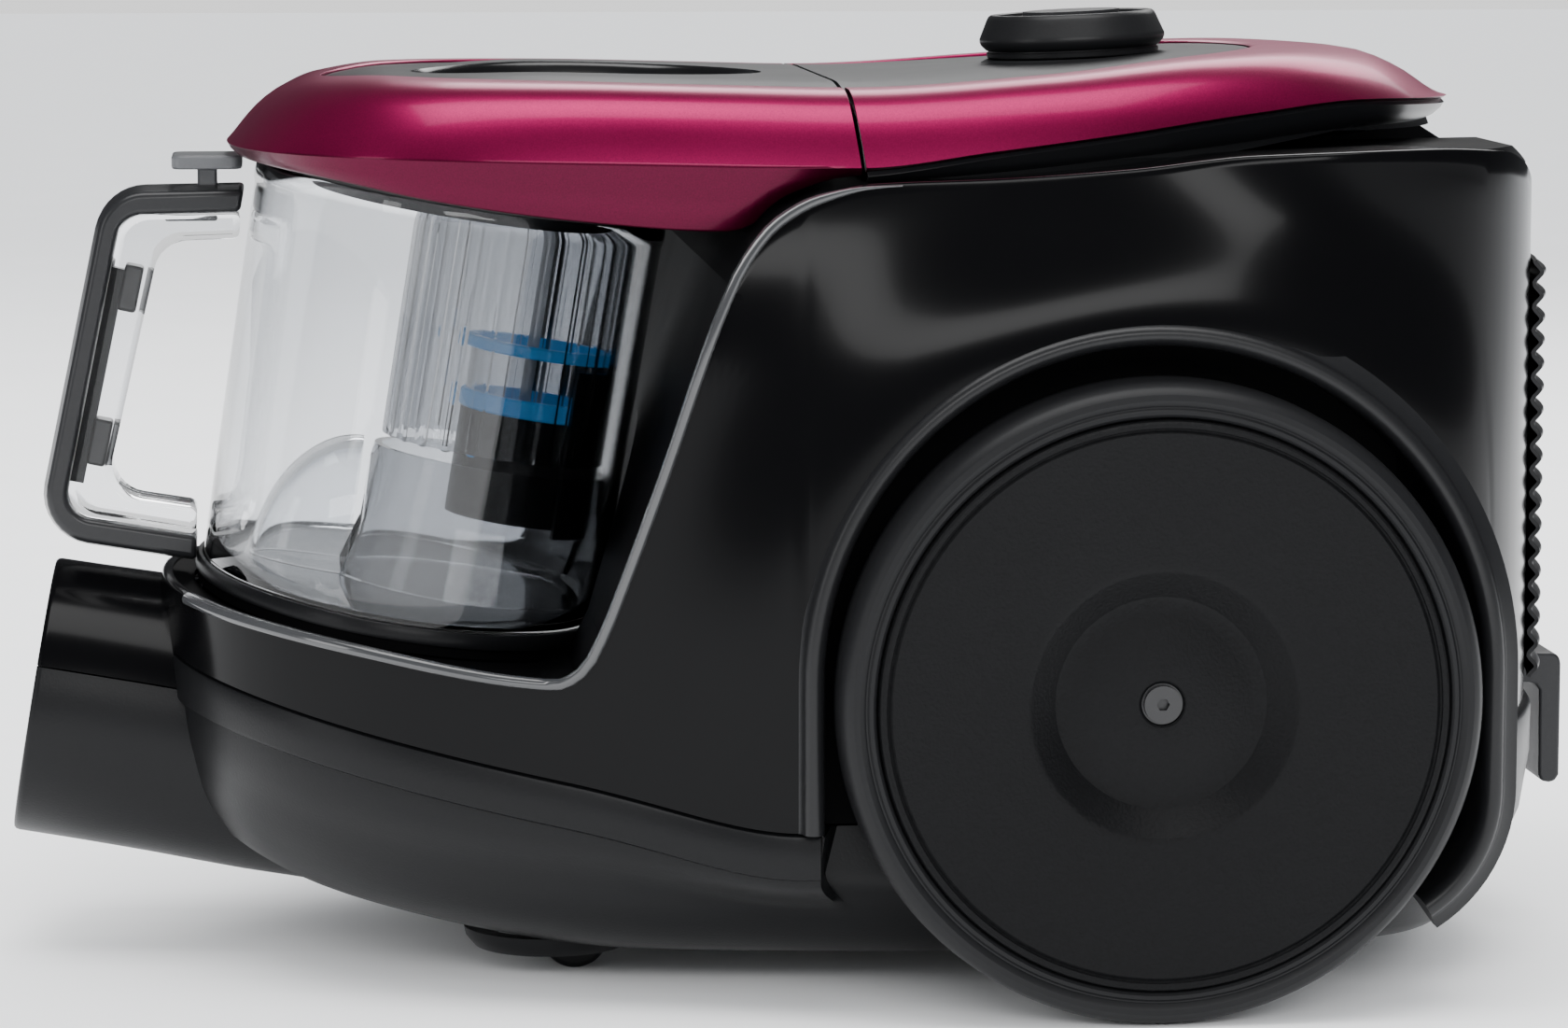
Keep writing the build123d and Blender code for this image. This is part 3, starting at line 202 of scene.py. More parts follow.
def outline(half, steps=24):
    """Closed cubic spline through a half outline and its mirror image: points and outward normals."""
    knots = [Vector((x, y, 0)) for x, y in half + [(x, -y) for x, y in reversed(half[1:-1])]]
    count = len(knots)
    gaps = [(knots[(k + 1) % count] - knots[k]).length for k in range(count)]
    pulls = [(knots[(k + 1) % count] - knots[k - 1]) / (gaps[k] + gaps[k - 1]) for k in range(count)]
    for _ in range(60):
        for k in range(count):
            before, after = gaps[k - 1], gaps[k]
            ahead = (k + 1) % count
            chord = after / before * (knots[k] - knots[k - 1]) + before / after * (knots[ahead] - knots[k])
            pulls[k] = (3 * chord - after * pulls[k - 1] - before * pulls[ahead]) / (2 * (before + after))
    points = []
    for k in range(count):
        first, last, gap = knots[k], knots[(k + 1) % count], gaps[k]
        for step in range(steps):
            t = step / steps
            points.append(
                first * (1 + 2 * t) * (1 - t) ** 2 + pulls[k] * gap * t * (1 - t) ** 2
                + last * t * t * (3 - 2 * t) - pulls[(k + 1) % count] * gap * t * t * (1 - t)
            )
    normals = []
    for k, point in enumerate(points):
        along = points[(k + 1) % len(points)] - points[k - 1]
        out = Vector((along.y, -along.x, 0)).normalized()
        normals.append(out if out.dot(point) > 0 else -out)
    return points, normals


def loft(bm, rows, closed=True):
    """Joins rows of points, one after the next, with bands of faces."""
    edges = []
    for row in rows:
        verts = [bm.verts.new(point) for point in row]
        ends = verts[1:] + verts[:1] if closed else verts[1:]
        edges.append([bm.edges.new(pair) for pair in zip(verts, ends)])
    for low, high in zip(edges, edges[1:]):
        bmesh.ops.bridge_loops(bm, edges=low + high)


def cap(bm):
    """Closes the open ends of a mesh."""
    bmesh.ops.holes_fill(bm, edges=[edge for edge in bm.edges if edge.is_boundary])


def piece(name, bm, material, body, slot, *stands_for, angle=35, bevel=0.0, wall=0.0, steps=2, limit=35):
    """Merges a mesh made in millimetres, gives it its wall and hangs it, smooth-shaded, on its body."""
    bmesh.ops.remove_doubles(bm, verts=bm.verts, dist=0.005)
    bmesh.ops.dissolve_degenerate(bm, dist=0.004, edges=bm.edges)
    bmesh.ops.recalc_face_normals(bm, faces=bm.faces)
    if wall:
        bmesh.ops.solidify(bm, geom=bm.faces[:], thickness=wall)
        bmesh.ops.recalc_face_normals(bm, faces=bm.faces)
    bmesh.ops.scale(bm, vec=(0.001, 0.001, 0.001), verts=bm.verts)
    data = bpy.data.meshes.new(name)
    bm.to_mesh(data)
    bm.free()
    data.materials.append(material)
    data.shade_smooth()
    data.set_sharp_from_angle(angle=radians(angle))
    made = bpy.data.objects.new(name, data)
    bpy.context.scene.collection.objects.link(made)
    if bevel:
        soft = made.modifiers.new("soft_edges", "BEVEL")
        soft.width = bevel / 1000
        soft.segments = steps
        soft.limit_method = "ANGLE"
        soft.angle_limit = radians(limit)
        soft.harden_normals = False
    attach(made, body)
    if stands_for:
        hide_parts(*stands_for)
    return made


def smooth_step(t):
    t = min(max(t, 0), 1)
    return t * t * (3 - 2 * t)


body_half = [
    (-158, 0), (-145, 57), (-98, 96), (-40, 108), (20, 113), (111, 112), (159, 97), (183, 60), (191, 0),
]
body_points, body_normals = outline(body_half)
gloss_top = rail([
    (-160, 96.4), (-110, 88.2), (-72, 82), (-63, 81.4), (-57, 84.5), (-52, 93), (-48, 103), (-38, 130),
    (-24, 170), (-18, 183), (-10, 192.5), (0, 197.8), (12.5, 200.4), (44, 201.6), (76, 203.8), (106, 207),
    (150, 208), (172, 206.5), (181, 203), (187, 197), (191, 194),
])
gloss_foot = rail([(-158, 80), (-120, 70.6), (-60, 57.3), (-4, 46), (191, 46)])
tail_lean = rail([(46, -9), (56, -3), (68, 0), (196, 0), (206, -0.8)])


def arch_reach(x, z):
    """Distance of a spot on the side from the edge of the wheel opening."""
    return (hypot(x - wheel_x, z - arch_z) if z > arch_z else abs(x - wheel_x)) - arch_r


lean_in, lean_z, lean_tall = 8.2, 156, 44  # the side leans in above this height
lean_end, lean_fade = 40, 95  # and stands up again from here to the tail
arch_swell, swell_reach = 6.0, 46
swell_start, swell_fade = -62, 30


def skin_spot(point, normal, z, out=0.0):
    """A spot of the polished skin: plan outline, lean of the side and swelling round the arch."""
    side, tail = normal.y ** 2, max(normal.x, 0) ** 2
    upright = smooth_step((point.x - lean_end) / lean_fade)
    lean = -lean_in * (max(z - lean_z, 0) / lean_tall) ** 2 * side * (1 - upright)
    near_arch = 1 - smooth_step(arch_reach(point.x, z) / swell_reach)
    swell = arch_swell * near_arch ** 1.5 * side * smooth_step((point.x - swell_start) / swell_fade)
    shift = lean + swell + tail_lean(z) * tail + skin_out + out
    return Vector((point.x + normal.x * shift, point.y + normal.y * shift, z))


grip_half, grip_z = 46, 184  # finger notch in the tail, under the ring
columns = []
for point, normal in zip(body_points, body_normals):
    foot, top = gloss_foot(point.x), gloss_top(point.x)
    if abs(point.x - wheel_x) < skin_r:
        foot = arch_z + sqrt(skin_r ** 2 - (point.x - wheel_x) ** 2)
    in_grip = point.x > 150 and abs(point.y) < grip_half
    if in_grip:
        top = grip_z + (top - grip_z) * smooth_step((abs(point.y) - 36) / 10)
    inward = 2.6 + 22 * smooth_step((point.x - 14) / 12) * (0 if in_grip else 1)
    column = [skin_spot(point, normal, foot + (top - foot) * row / 30) for row in range(31)]
    column += [
        skin_spot(point, normal, top + 0.55, -0.35), skin_spot(point, normal, top + 0.8, -1.0),
        skin_spot(point, normal, top + 0.75, -1.9), skin_spot(point, normal, top + 0.5, -inward),
    ]
    columns.append(column)
bm = bmesh.new()
loft(bm, list(zip(*columns)))
piece("gloss_skin", bm, gloss_black, "body", "black_gloss", angle=50, wall=1.2)

hull_nose = rail([
    (8, -78), (11, -98), (16, -117), (24, -136), (34, -147.5), (46, -154.5), (58, -157), (80, -158),
])
hull_tail = rail([(8, 148), (24, 169), (40, 178), (48, 181), (80, 190)])
hull_half = rail([(8, 77), (10, 86), (15, 93.5), (22, 99), (32, 104), (44, 108.5), (56, 111.5), (80, 112.5)])
belly = rail([(-158, 36), (-143, 24.5), (-120, 15.5), (-96, 10), (-72, 8.2), (191, 8.2)])


def clear_of_wheel(spot):
    """Keeps a spot of the lower shell inside the wheel next to it."""
    if well_front < spot.x < well_rear:
        spot.y = min(max(spot.y, -well_half), well_half)
    return spot


def hull_spot(point, z):
    """A spot of the matt lower shell, which narrows like a boat towards the floor."""
    if point.x < middle_x:
        reach = (middle_x - hull_nose(z)) / (middle_x - nose_x)
    else:
        reach = (hull_tail(z) - middle_x) / (tail_x - middle_x)
    x = middle_x + (point.x - middle_x) * reach
    return clear_of_wheel(Vector((x, point.y * hull_half(z) / body_wide, z)))


seam_band = [
    (-0.6, -2.6), (0.3, -0.4), (-0.5, 0.2), (-0.9, 1.3), (-1.6, 1.6), (-10.5, 1.6), (-11.3, 1.3),
    (-11.9, 0.1),
]
rows = []
for fall, out in seam_band:
    rows.append([
        clear_of_wheel(skin_spot(point, normal, gloss_foot(point.x) + fall, out - skin_out))
        for point, normal in zip(body_points, body_normals)
    ])
band_foot = rows[-1]
for t in (0.03, 0.07, 0.12, 0.18, 0.25, 0.33, 0.42, 0.52, 0.62, 0.72, 0.81, 0.89, 0.95, 1.0):
    row = []
    for spot, point in zip(band_foot, body_points):
        low_z = belly(point.x)
        z = spot.z + (low_z - spot.z) * t
        row.append(Vector((*spot.lerp(hull_spot(point, z), smooth_step(t * 2.4)).xy, z)))
    rows.append(row)
bilge = rows[-1]
for shrink in (0.94, 0.6, 0.2, 0.0):
    rows.append([
        Vector((
            middle_x + (spot.x - middle_x) * shrink, spot.y * shrink, spot.z * shrink + belly_z * (1 - shrink),
        ))
        for spot in bilge
    ])
bm = bmesh.new()
loft(bm, rows)
piece("hull", bm, matt_black, "body", "black_matt", "lower_housing", angle=40, wall=1.2)
castor_x, castor_half = -62, 48
collar = [(17.5, 3.0), (17.5, -1.2), (18.2, -1.9), (19.4, -1.9), (21.5, 0.6), (22.0, 3.0)]
for side_name, side in (("left", -1), ("right", 1)):
    bm = bmesh.new()
    verts = [bm.verts.new((castor_x + r, side * castor_half, belly_z + h)) for r, h in collar]
    edges = [bm.edges.new(pair) for pair in zip(verts, verts[1:] + verts[:1])]
    bmesh.ops.spin(
        bm, geom=verts + edges, cent=(castor_x, side * castor_half, belly_z), axis=(0, 0, 1),
        angle=2 * pi, steps=72, use_merge=True,
    )
    piece(f"castor_collar_{side_name}", bm, matt_black, "body", "black_matt", angle=40)

# ---------------------------------------------------------------- lip round the bin's seat
# A moulded lip is clipped along the cut-away of the polished shell, round the leaning
# bin, and tapers off where the ring's seam meets the shell.  Its bright edge is partly a real highlight on
# its rounded lacquered profile and partly painted highlight: its grey is far lighter than the shell's black.
lip_gloss_and_painted_highlight = finish(
    "lip_gloss_and_painted_highlight", (0.035, 0.036, 0.038), 0.16, scale=80, bump=0, spread=0.02, tint=0.1,
    Coat_Weight=0.6,
)
lip_stations = [k for k, point in enumerate(body_points) if -152 < point.x < 22 and point.y < 0]
lip_section = ((-1.6, 0.1), (-1.4, 0.8), (-0.5, 1.25), (0.7, 0.95), (1.2, -0.1), (0.9, -2.2), (-1.3, -2.0))
lip_rows = []
for k in lip_stations:
    point, normal = body_points[k], body_normals[k]
    top = gloss_top(point.x)
    before, after = gloss_top(point.x - 1), gloss_top(point.x + 1)
    slope = Vector((2, 0, after - before)).normalized()
    up = Vector((-slope.z, 0, slope.x))
    base = skin_spot(point, normal, top)
    out = Vector((normal.x, normal.y, 0))
    fade = 1 - 0.85 * smooth_step((point.x + 6) / 26)
    lip_rows.append([base + (up * a + out * b) * fade for a, b in lip_section])
for side_name, flip in (("left", 1), ("right", -1)):
    bm = bmesh.new()
    loft(bm, [[Vector((p.x, p.y * flip, p.z)) for p in row] for row in lip_rows])
    cap(bm)
    piece(f"seat_lip_{side_name}", bm, lip_gloss_and_painted_highlight, "body", "black_gloss", angle=50)

# ---------------------------------------------------------------- wheel arches
# A matt moulded band frames each wheel: a straight leg in front, a half round over the tyre and a rear leg
# that curls in under the tail.  It is clipped to the polished shell and stands proud of it.
band_matt = finish(
    "band_matt", (0.0075, 0.0077, 0.0085), 0.34, scale=1100, bump=0.00003, spread=0.05, tint=0.2,
    Specular_IOR_Level=0.3,
)
band_r = 80
curl_r, curl_z, curl_turn = 31, 54, 58  # radius, start and degrees of the curl in the rear leg
arch_path = [(wheel_x - band_r, z, -1, 0) for z in (46.0, 48.0, 60.0, 72.0)]
for k in range(65):
    a = pi * k / 64
    arch_path.append((wheel_x - band_r * cos(a), arch_z + band_r * sin(a), -cos(a), sin(a)))
arch_path += [(wheel_x + band_r, z, 1, 0) for z in (72.0, 62.0, curl_z)]
for k in range(1, 13):
    a = radians(curl_turn * k / 12)
    arch_path.append((wheel_x + band_r - curl_r * (1 - cos(a)), curl_z - curl_r * sin(a), cos(a), -sin(a)))
band_profile = [
    (0, -100), (0, -119), (0.35, -121.2), (1.4, -122.6), (2.9, -123), (4.4, -122.5), (5.2, -121.2),
    (5.5, -119.5), (6.6, -118.2), (9.5, -117), (9.5, -112), (5, -108),
]
for side_name, flip in (("left", 1), ("right", -1)):
    bm = bmesh.new()
    rows = []
    for x, z, nx, nz in arch_path:
        rows.append([Vector((x + nx * r, y * flip, z + nz * r)) for r, y in band_profile])
    loft(bm, rows)
    cap(bm)
    piece(f"arch_{side_name}", bm, band_matt, "body", "black_matt", f"wheel_arch_{side_name}", angle=40)

# ---------------------------------------------------------------- wheels
# Two big wheels on steel axles.  A moulded disc with an eroded grain is dished round its screw, and a
# softer grey tyre with two fine grooves is pressed on its rim.
low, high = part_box("wheel_tyre_left")
wheel_centre = Vector(((low.x + high.x) * 500, 0, (low.z + high.z) * 500))
wheel_half = 136  # a wheel's outer face, from the middle of the cleaner
disc_grain = finish(
    "disc_grain", (0.0034, 0.0035, 0.004), 0.5, scale=1250, bump=0.00024, spread=0.05, tint=0.55,
    Specular_IOR_Level=0.13,
)
tyre_rubber = finish(
    "tyre_rubber", (0.0068, 0.007, 0.0078), 0.42, scale=900, bump=0.00003, spread=0.05, tint=0.15,
    Specular_IOR_Level=0.2,
)


def spun(profile, centre, axis, across, steps=144):
    """Turned form: a profile of (radius, distance along the axis), spun once round."""
    bm = bmesh.new()
    verts = [bm.verts.new(centre + across * r + axis * h) for r, h in profile]
    edges = [bm.edges.new(pair) for pair in zip(verts, verts[1:])]
    if profile[0][0] > 0 and profile[-1][0] > 0:
        edges.append(bm.edges.new((verts[-1], verts[0])))
    bmesh.ops.spin(bm, geom=verts + edges, cent=centre, axis=axis, angle=2 * pi, steps=steps, use_merge=True)
    return bm


disc_profile = [
    (5.1, -24), (5.1, -7.0), (5.2, -6.4), (5.7, -6.1), (7.2, -6.0), (14, -6.6), (20.5, -8.0), (24.2, -8.6),
    (25.6, -8.3), (31.9, -3.1), (32.4, -2.7), (33.0, -2.5), (34.2, -2.4), (50, -1.8), (62, -1.0),
    (65.6, -0.75), (66.0, -1.1), (66.35, -1.35), (66.75, -1.1), (67.0, -0.6), (68.0, -0.55), (68.5, -0.9),
    (68.9, -1.8), (69, -3.2), (69, -24), (65, -24), (65, -5.5), (33, -6.5), (22, -11.5), (12, -12),
    (12, -24),
]
tyre_profile = [
    (69.05, -23), (69.05, -2.8), (69.5, -1.9), (70.1, -1.5), (71.0, -1.5), (71.5, -1.95), (71.9, -2.0),
    (72.3, -1.6), (73.4, -1.15), (74.8, -1.3), (76.0, -2.1), (77.0, -3.5), (77.7, -5.6), (78, -8.4),
    (78, -17), (77.6, -20), (76.2, -22.2), (74, -23),
]
for side_name, side in (("left", -1), ("right", 1)):
    axis, up = Vector((0, side, 0)), Vector((0, 0, 1))
    face = wheel_centre + axis * wheel_half
    for part, profile, material, slot in (
        ("disc", disc_profile, disc_grain, "black_matt"), ("tyre", tyre_profile, tyre_rubber, "tyre"),
    ):
        bm = spun(profile, face, axis, up)
        node = f"wheel_{part}_{side_name}"
        piece(f"{part}_{side_name}", bm, material, f"wheel_{side_name}", slot, node, angle=26)

# ---------------------------------------------------------------- lid and top ring
# A ring in pearl magenta under clear lacquer runs round the top.  Its front half is the lid of the bin,
# its rear half is screwed to the body, and the seam between them leans forward.
pearl = finish(
    "pearl_magenta_with_painted_shade", (0.25, 0.0045, 0.062), 0.34, scale=2600, bump=0.000004, spread=0.03, tint=0.35,
    Metallic=0.86, Specular_IOR_Level=0.2, Coat_Weight=0.14, Coat_Roughness=0.1,
)
# Painted shade: the ring's colour is darkened towards black where its surface turns from facing up to facing
# sideways or down, to 30 per cent at the least.
tree = pearl.node_tree
slope = tree.nodes.new("ShaderNodeNewGeometry")
upward = tree.nodes.new("ShaderNodeSeparateXYZ")
painted_shade_ramp = tree.nodes.new("ShaderNodeMapRange")
painted_shade_ramp.inputs["From Min"].default_value = 0.12
painted_shade_ramp.inputs["From Max"].default_value = 0.5
painted_shade_ramp.inputs["To Min"].default_value = 0.3
painted_shade = tree.nodes.new("ShaderNodeMix")
painted_shade.data_type = "RGBA"
painted_shade.inputs[6].default_value = (0.0, 0.0, 0.0, 1)
tree.links.new(slope.outputs["Normal"], upward.inputs["Vector"])
tree.links.new(upward.outputs["Z"], painted_shade_ramp.inputs["Value"])
tree.links.new(painted_shade_ramp.outputs["Result"], painted_shade.inputs["Factor"])
tree.links.new(tree.nodes["Mix"].outputs[2], painted_shade.inputs[7])
tree.links.new(painted_shade.outputs[2], tree.nodes["Principled BSDF"].inputs["Base Color"])
ring_half = [
    (-141.5, 0), (-123, 69), (-97, 88.5), (-60, 96.5), (18, 98), (100, 84), (144, 61), (167, 30), (175, 0),
]
deck_half = [(-117, 0), (-104, 38), (-86, 58), (-56, 69), (18, 72), (84, 60), (110, 40), (120, 20), (123, 0)]
ring_points, ring_normals = outline(ring_half)
deck_points, _ = outline(deck_half)
crown = rail([
    (-142, 212), (-136, 216.5), (-128, 220.3), (-118, 223.4), (-100, 225), (-60, 224.6), (-20, 223.6),
    (12.5, 222.9), (60, 225.6), (102, 229.6), (128, 230.7), (147, 230.4), (161, 227.6), (170, 222.5),
    (175, 219.5),
])
lid_foot = rail([
    (-142, 204.5), (-130, 203), (-118, 201.3), (-92, 196.6), (-54, 191.6), (-22, 189.4), (-16, 190.4),
    (-9.6, 196.2), (-1, 200.2), (6, 202.2), (30, 204),
])
crease = rail([
    (-142, 207), (-100, 206.6), (-40, 205.6), (12, 204.6), (44, 208.2), (76, 212), (110, 216.4), (140, 219),
    (175, 217.6),
])
deck_step = Vector((0, 0, 3.2))  # the ring's inner edge is let down this far for the deck
rear_foot = rail([(0, 202.6), (15.5, 203.6), (44, 207.2), (76, 211), (110, 215.4), (140, 218), (175, 216.6)])


def ring_rows(foot):
    """Closed cross-sections of the ring: outer face from foot to deck, then the inner face back."""
    rows = []
    outer_face = [
        (0.0, 2.1, 0.0), (0.0, 1.5, 0.6), (0.5, 0.75, 0), (0.9, 0.2, 0), (0.97, 0.05, 0), (1.0, 0.0, 0.0),
    ]
    for t, inset, lift in outer_face:
        row = []
        for point, normal in zip(ring_points, ring_normals):
            low_z, high_z = foot(point.x), crease(point.x)
            row.append(Vector((*(point - normal * inset).xy, low_z + (high_z - low_z) * t + lift)))
        rows.append(row)
    for t in (0.008, 0.02, 0.04, 0.07, 0.11, 0.16, 0.22, 0.29, 0.37, 0.46, 0.56, 0.67, 0.78, 0.88, 0.95, 0.985):
        rows.append([ring_spot(p, d, t) for p, d in zip(ring_points, deck_points)])
    rows.append([ring_spot(p, d, 1.0) - Vector((0, 0, 0.5)) for p, d in zip(ring_points, deck_points)])
    rows.append([ring_spot(p, d, 1.0) - deck_step for p, d in zip(ring_points, deck_points)])
    for t in (0.9, 0.6, 0.3, 0.12):
        rows.append([ring_spot(p, d, t) - deck_step for p, d in zip(ring_points, deck_points)])
    rows.append([Vector((*(p - n * 4.4).xy, foot(p.x) + 0.2)) for p, n in zip(ring_points, ring_normals)])
    rows.append(rows[0])
    return rows


def ring_spot(point, deck, t):
    """A spot of the crowned upper face, between the ring's rim and the deck's outline."""
    flat = Vector(point).lerp(Vector(deck), t)
    rim = crease(point.x)
    top = crown(flat.x)
    return Vector((flat.x, flat.y, rim + (top - rim) * (1 - (1 - t) ** 4.6)))


seam_x, seam_z, seam_lean = 12.5, 201, radians(8)
seam_facing = Vector((cos(seam_lean), 0, sin(seam_lean)))


def slice_off(bm, spot, facing, ahead):
    """Cuts a mesh by a plane and drops what lies ahead of the plane, or else what lies behind it."""
    geom = bm.verts[:] + bm.edges[:] + bm.faces[:]
    bmesh.ops.bisect_plane(
        bm, geom=geom, plane_co=spot, plane_no=facing, clear_outer=ahead, clear_inner=not ahead,
    )


def cut_at_seam(bm, front, gap):
    """Keeps what is in front of the leaning seam, or behind it, with a gap for the joint line."""
    slice_off(bm, (seam_x - gap if front else seam_x + gap, 0, seam_z), seam_facing, front)


for name, foot, front, body, node in (
    ("lid_ring", lid_foot, True, "lid", "bin_lid"), ("rear_ring", rear_foot, False, "body", "top_ring"),
):
    bm = bmesh.new()
    loft(bm, ring_rows(foot))
    bmesh.ops.remove_doubles(bm, verts=bm.verts, dist=0.01)
    cut_at_seam(bm, front, 0.55)
    cap(bm)
    piece(name, bm, pearl, body, "magenta_gloss", node, angle=50, bevel=0.45, steps=3, limit=48)

# ---------------------------------------------------------------- decks
# Dark satin panels are set into the ring.  The front one has an oval finger scoop to lift the lid by,
# and the rear one rises in a low cone under the dial.
satin_deck = finish(
    "satin_deck", (0.012, 0.0122, 0.0132), 0.42, scale=700, bump=0.000012, spread=0.04, tint=0.12,
    Specular_IOR_Level=0.14,
)
scoop_dark = finish(
    "scoop_dark", (0.0045, 0.0045, 0.005), 0.22, scale=700, bump=0.00001, spread=0.04, tint=0.12,
)


scoop_x, scoop_a, scoop_b = -50, 44, 36
deck_sunk, deck_lip = 0.75, 2.6  # how far the panel and its turned-down edge lie under the crown


def deck_row(t, a, b, drop):
    """Spots between the deck's outline and an oval with half sizes a and b round the scoop."""
    row = []
    for k, point in enumerate(deck_points):
        angle = pi - 2 * pi * k / len(deck_points)
        flat = point.lerp(Vector((scoop_x + a * cos(angle), b * sin(angle), 0)), t)
        swell = 1.5 * sin(pi * min(t, 0.5)) ** 2 * (1 - smooth_step((-60 - flat.x) / 40))
        row.append(Vector((flat.x, flat.y, crown(flat.x) + swell - drop)))
    return row


deck_rows = [deck_row(0.004, scoop_a, scoop_b, deck_lip)]
for t in (0.004, 0.01, 0.05, 0.12, 0.2, 0.3, 0.42, 0.55, 0.68, 0.8, 0.9, 0.96, 0.985):
    deck_rows.append(deck_row(t, scoop_a, scoop_b, deck_sunk))
for name, front, body, node in (
    ("lid_deck_panel", True, "lid", "lid_deck"), ("rear_deck_panel", False, "body", "top_deck"),
):
    bm = bmesh.new()
    loft(bm, deck_rows)
    cut_at_seam(bm, front, 0.5)
    piece(name, bm, satin_deck, body, "grey_matt", node, angle=40, wall=2.0)

scoop_profile = [
    (44.0, 36.0, 0.75), (43.4, 35.5, 1.1), (42.9, 35.0, 1.9), (42.2, 34.4, 4.0), (41.2, 33.5, 7.5),
    (39.4, 31.9, 10.6), (36.0, 28.8, 12.8), (30.0, 23.5, 13.8), (20.0, 15.0, 14.2), (8.0, 6.0, 14.3),
    (0.1, 0.1, 14.3),
]
bm = bmesh.new()
loft(bm, [deck_row(1.0, a, b, drop) for a, b, drop in scoop_profile])
bmesh.ops.holes_fill(bm, edges=[edge for edge in bm.edges if edge.is_boundary and edge.calc_length() < 0.5])
piece("lid_scoop", bm, scoop_dark, "lid", "black_matt", angle=60, wall=1.5)

# ---------------------------------------------------------------- skirt under the rear ring
# A satin black skirt carries the rear ring on the body and narrows towards it.  It is a thin moulding held
# between the two, and it stops at the seam of the lid.
bm = bmesh.new()
under_low = rail([(0, 200.4), (44, 201.6), (76, 203.8), (106, 207.2), (134, 210.6), (175, 212.4)])
rows = []
for t, inset in ((0.0, 1.6), (0.06, 1.9), (0.3, 2.6), (0.6, 4.2), (0.85, 7.0), (1.0, 10.5), (1.02, 13.0)):
    row = []
    for point, normal in zip(ring_points, ring_normals):
        high_z, low_z = rear_foot(point.x) + 0.3, under_low(point.x)
        row.append(Vector((*(point - normal * inset).xy, high_z + (low_z - high_z) * t)))
    rows.append(row)
loft(bm, rows)
cut_at_seam(bm, False, 0.8)
under_finish = finish(
    "skirt_satin", (0.006, 0.0062, 0.007), 0.3, scale=800, bump=0.00001, spread=0.04, tint=0.15,
    Specular_IOR_Level=0.3,
)
piece("ring_skirt", bm, under_finish, "body", "black_matt", angle=50, wall=1.5)

# ---------------------------------------------------------------- suction dial
# A turned knob in matt black stands on the cone of the rear deck.  Its waist widens to a rim and it
# closes with a thin raised edge round the two keys.
knob_lean = radians(2.5)
knob_axis = Vector((-sin(knob_lean), 0, cos(knob_lean)))
knob_across = Vector((cos(knob_lean), 0, sin(knob_lean)))
knob_foot = Vector((77.3, 0, 228.0))
knob_matt = finish(
    "knob_matt", (0.0085, 0.0087, 0.0095), 0.4, scale=1200, bump=0.00004, spread=0.04, tint=0.2,
    Specular_IOR_Level=0.3,
)
bm = spun([
    (14.1, 0), (22.0, 0), (22.2, 0.25), (22.3, 1.3), (21.9, 1.5), (21.9, 1.8), (22.4, 2.0), (23.6, 3.2),
    (24.0, 4.1), (24.0, 4.9), (23.7, 5.6), (22.4, 8.6), (21.9, 9.8), (21.5, 10.5), (20.9, 10.95),
    (20.1, 11.0), (19.5, 10.7), (19.2, 10.0), (14.1, 9.8),
], knob_foot, knob_axis, knob_across, 120)
piece("dial", bm, knob_matt, "dial", "grey_matt", "suction_dial", angle=30)
cone = [
    (13.0, -0.35), (22.6, -0.35), (23.0, -0.6), (24.6, -1.5), (28.0, -2.9), (32.0, -4.1), (37.0, -5.0),
    (42.0, -5.6), (42.0, -8.0), (13.0, -8.0),
]
bm = spun(cone, knob_foot, knob_axis, knob_across, 120)
piece("dial_cone", bm, satin_deck, "body", "grey_matt", angle=30)

# ---------------------------------------------------------------- hose snout
# A round snout takes the hose cuff.  Its upper third is a polished cover clipped on, with a bead round the
# neck, and the rest is matt and runs back as a chin under the nose.
snout_lean = radians(9.7)
snout_in = Vector((cos(snout_lean), 0, -sin(snout_lean)))
snout_up = Vector((sin(snout_lean), 0, cos(snout_lean)))
snout_mouth = Vector((-192.6, 0, 64.4))


def snout_row(r, h, stretch=1.0, steps=144):
    """One ring of the snout, a little wider than tall towards its root."""
    turns = [2 * pi * k / steps for k in range(steps)]
    spot = snout_mouth + snout_in * h
    return [spot + Vector((0, r * stretch * cos(a), 0)) + snout_up * (r * sin(a)) for a in turns]


def snout_shape(profile, keep_upper, level):
    """The snout above or below a level, from a profile of (radius, depth, stretch), closed at the cut."""
    bm = bmesh.new()
    loft(bm, [snout_row(r, h, stretch) for r, h, stretch in profile])
    bmesh.ops.remove_doubles(bm, verts=bm.verts, dist=0.01)
    slice_off(bm, snout_mouth + snout_up * level, snout_up, not keep_upper)
    cap(bm)
    return bm


cover_level, shell_level = 12.4, 12.0
snout_wall = [
    (33.2, 8.0, 1), (33.2, 1.2, 1), (33.5, 0.4, 1), (34.1, 0.0, 1), (34.8, 0.15, 1), (35.3, 0.7, 1),
    (35.5, 1.6, 1), (35.6, 14, 1.01), (35.8, 26, 1.025), (36.0, 36, 1.05), (36.4, 48, 1.09),
]
cover_profile = snout_wall + [(33.6, 48, 1.08), (33.2, 8.0, 1)]
chin_profile = snout_wall + [
    (36.6, 60, 1.2), (36.4, 75, 1.34), (35.4, 92, 1.46), (33.6, 106, 1.5), (31.0, 106, 1.5), (33.2, 8.0, 1),
]
bead = [
    (35.2, 37.2, 1.05), (37.2, 37.4, 1.06), (38.0, 38.1, 1.065), (38.1, 39.0, 1.07), (37.6, 40.0, 1.07),
    (36.8, 44.0, 1.1), (35.0, 44.0, 1.1), (35.2, 37.2, 1.05),
]
bm = snout_shape(cover_profile, True, cover_level)
piece("snout_cover_top", bm, gloss_black, "body", "black_gloss", "snout_cover", angle=40)
bm = snout_shape(chin_profile, False, shell_level)
piece("snout_shell", bm, matt_black, "body", "black_matt", angle=40)
bm = snout_shape(bead, True, cover_level)
piece("snout_bead", bm, gloss_black, "body", "black_gloss", angle=50)

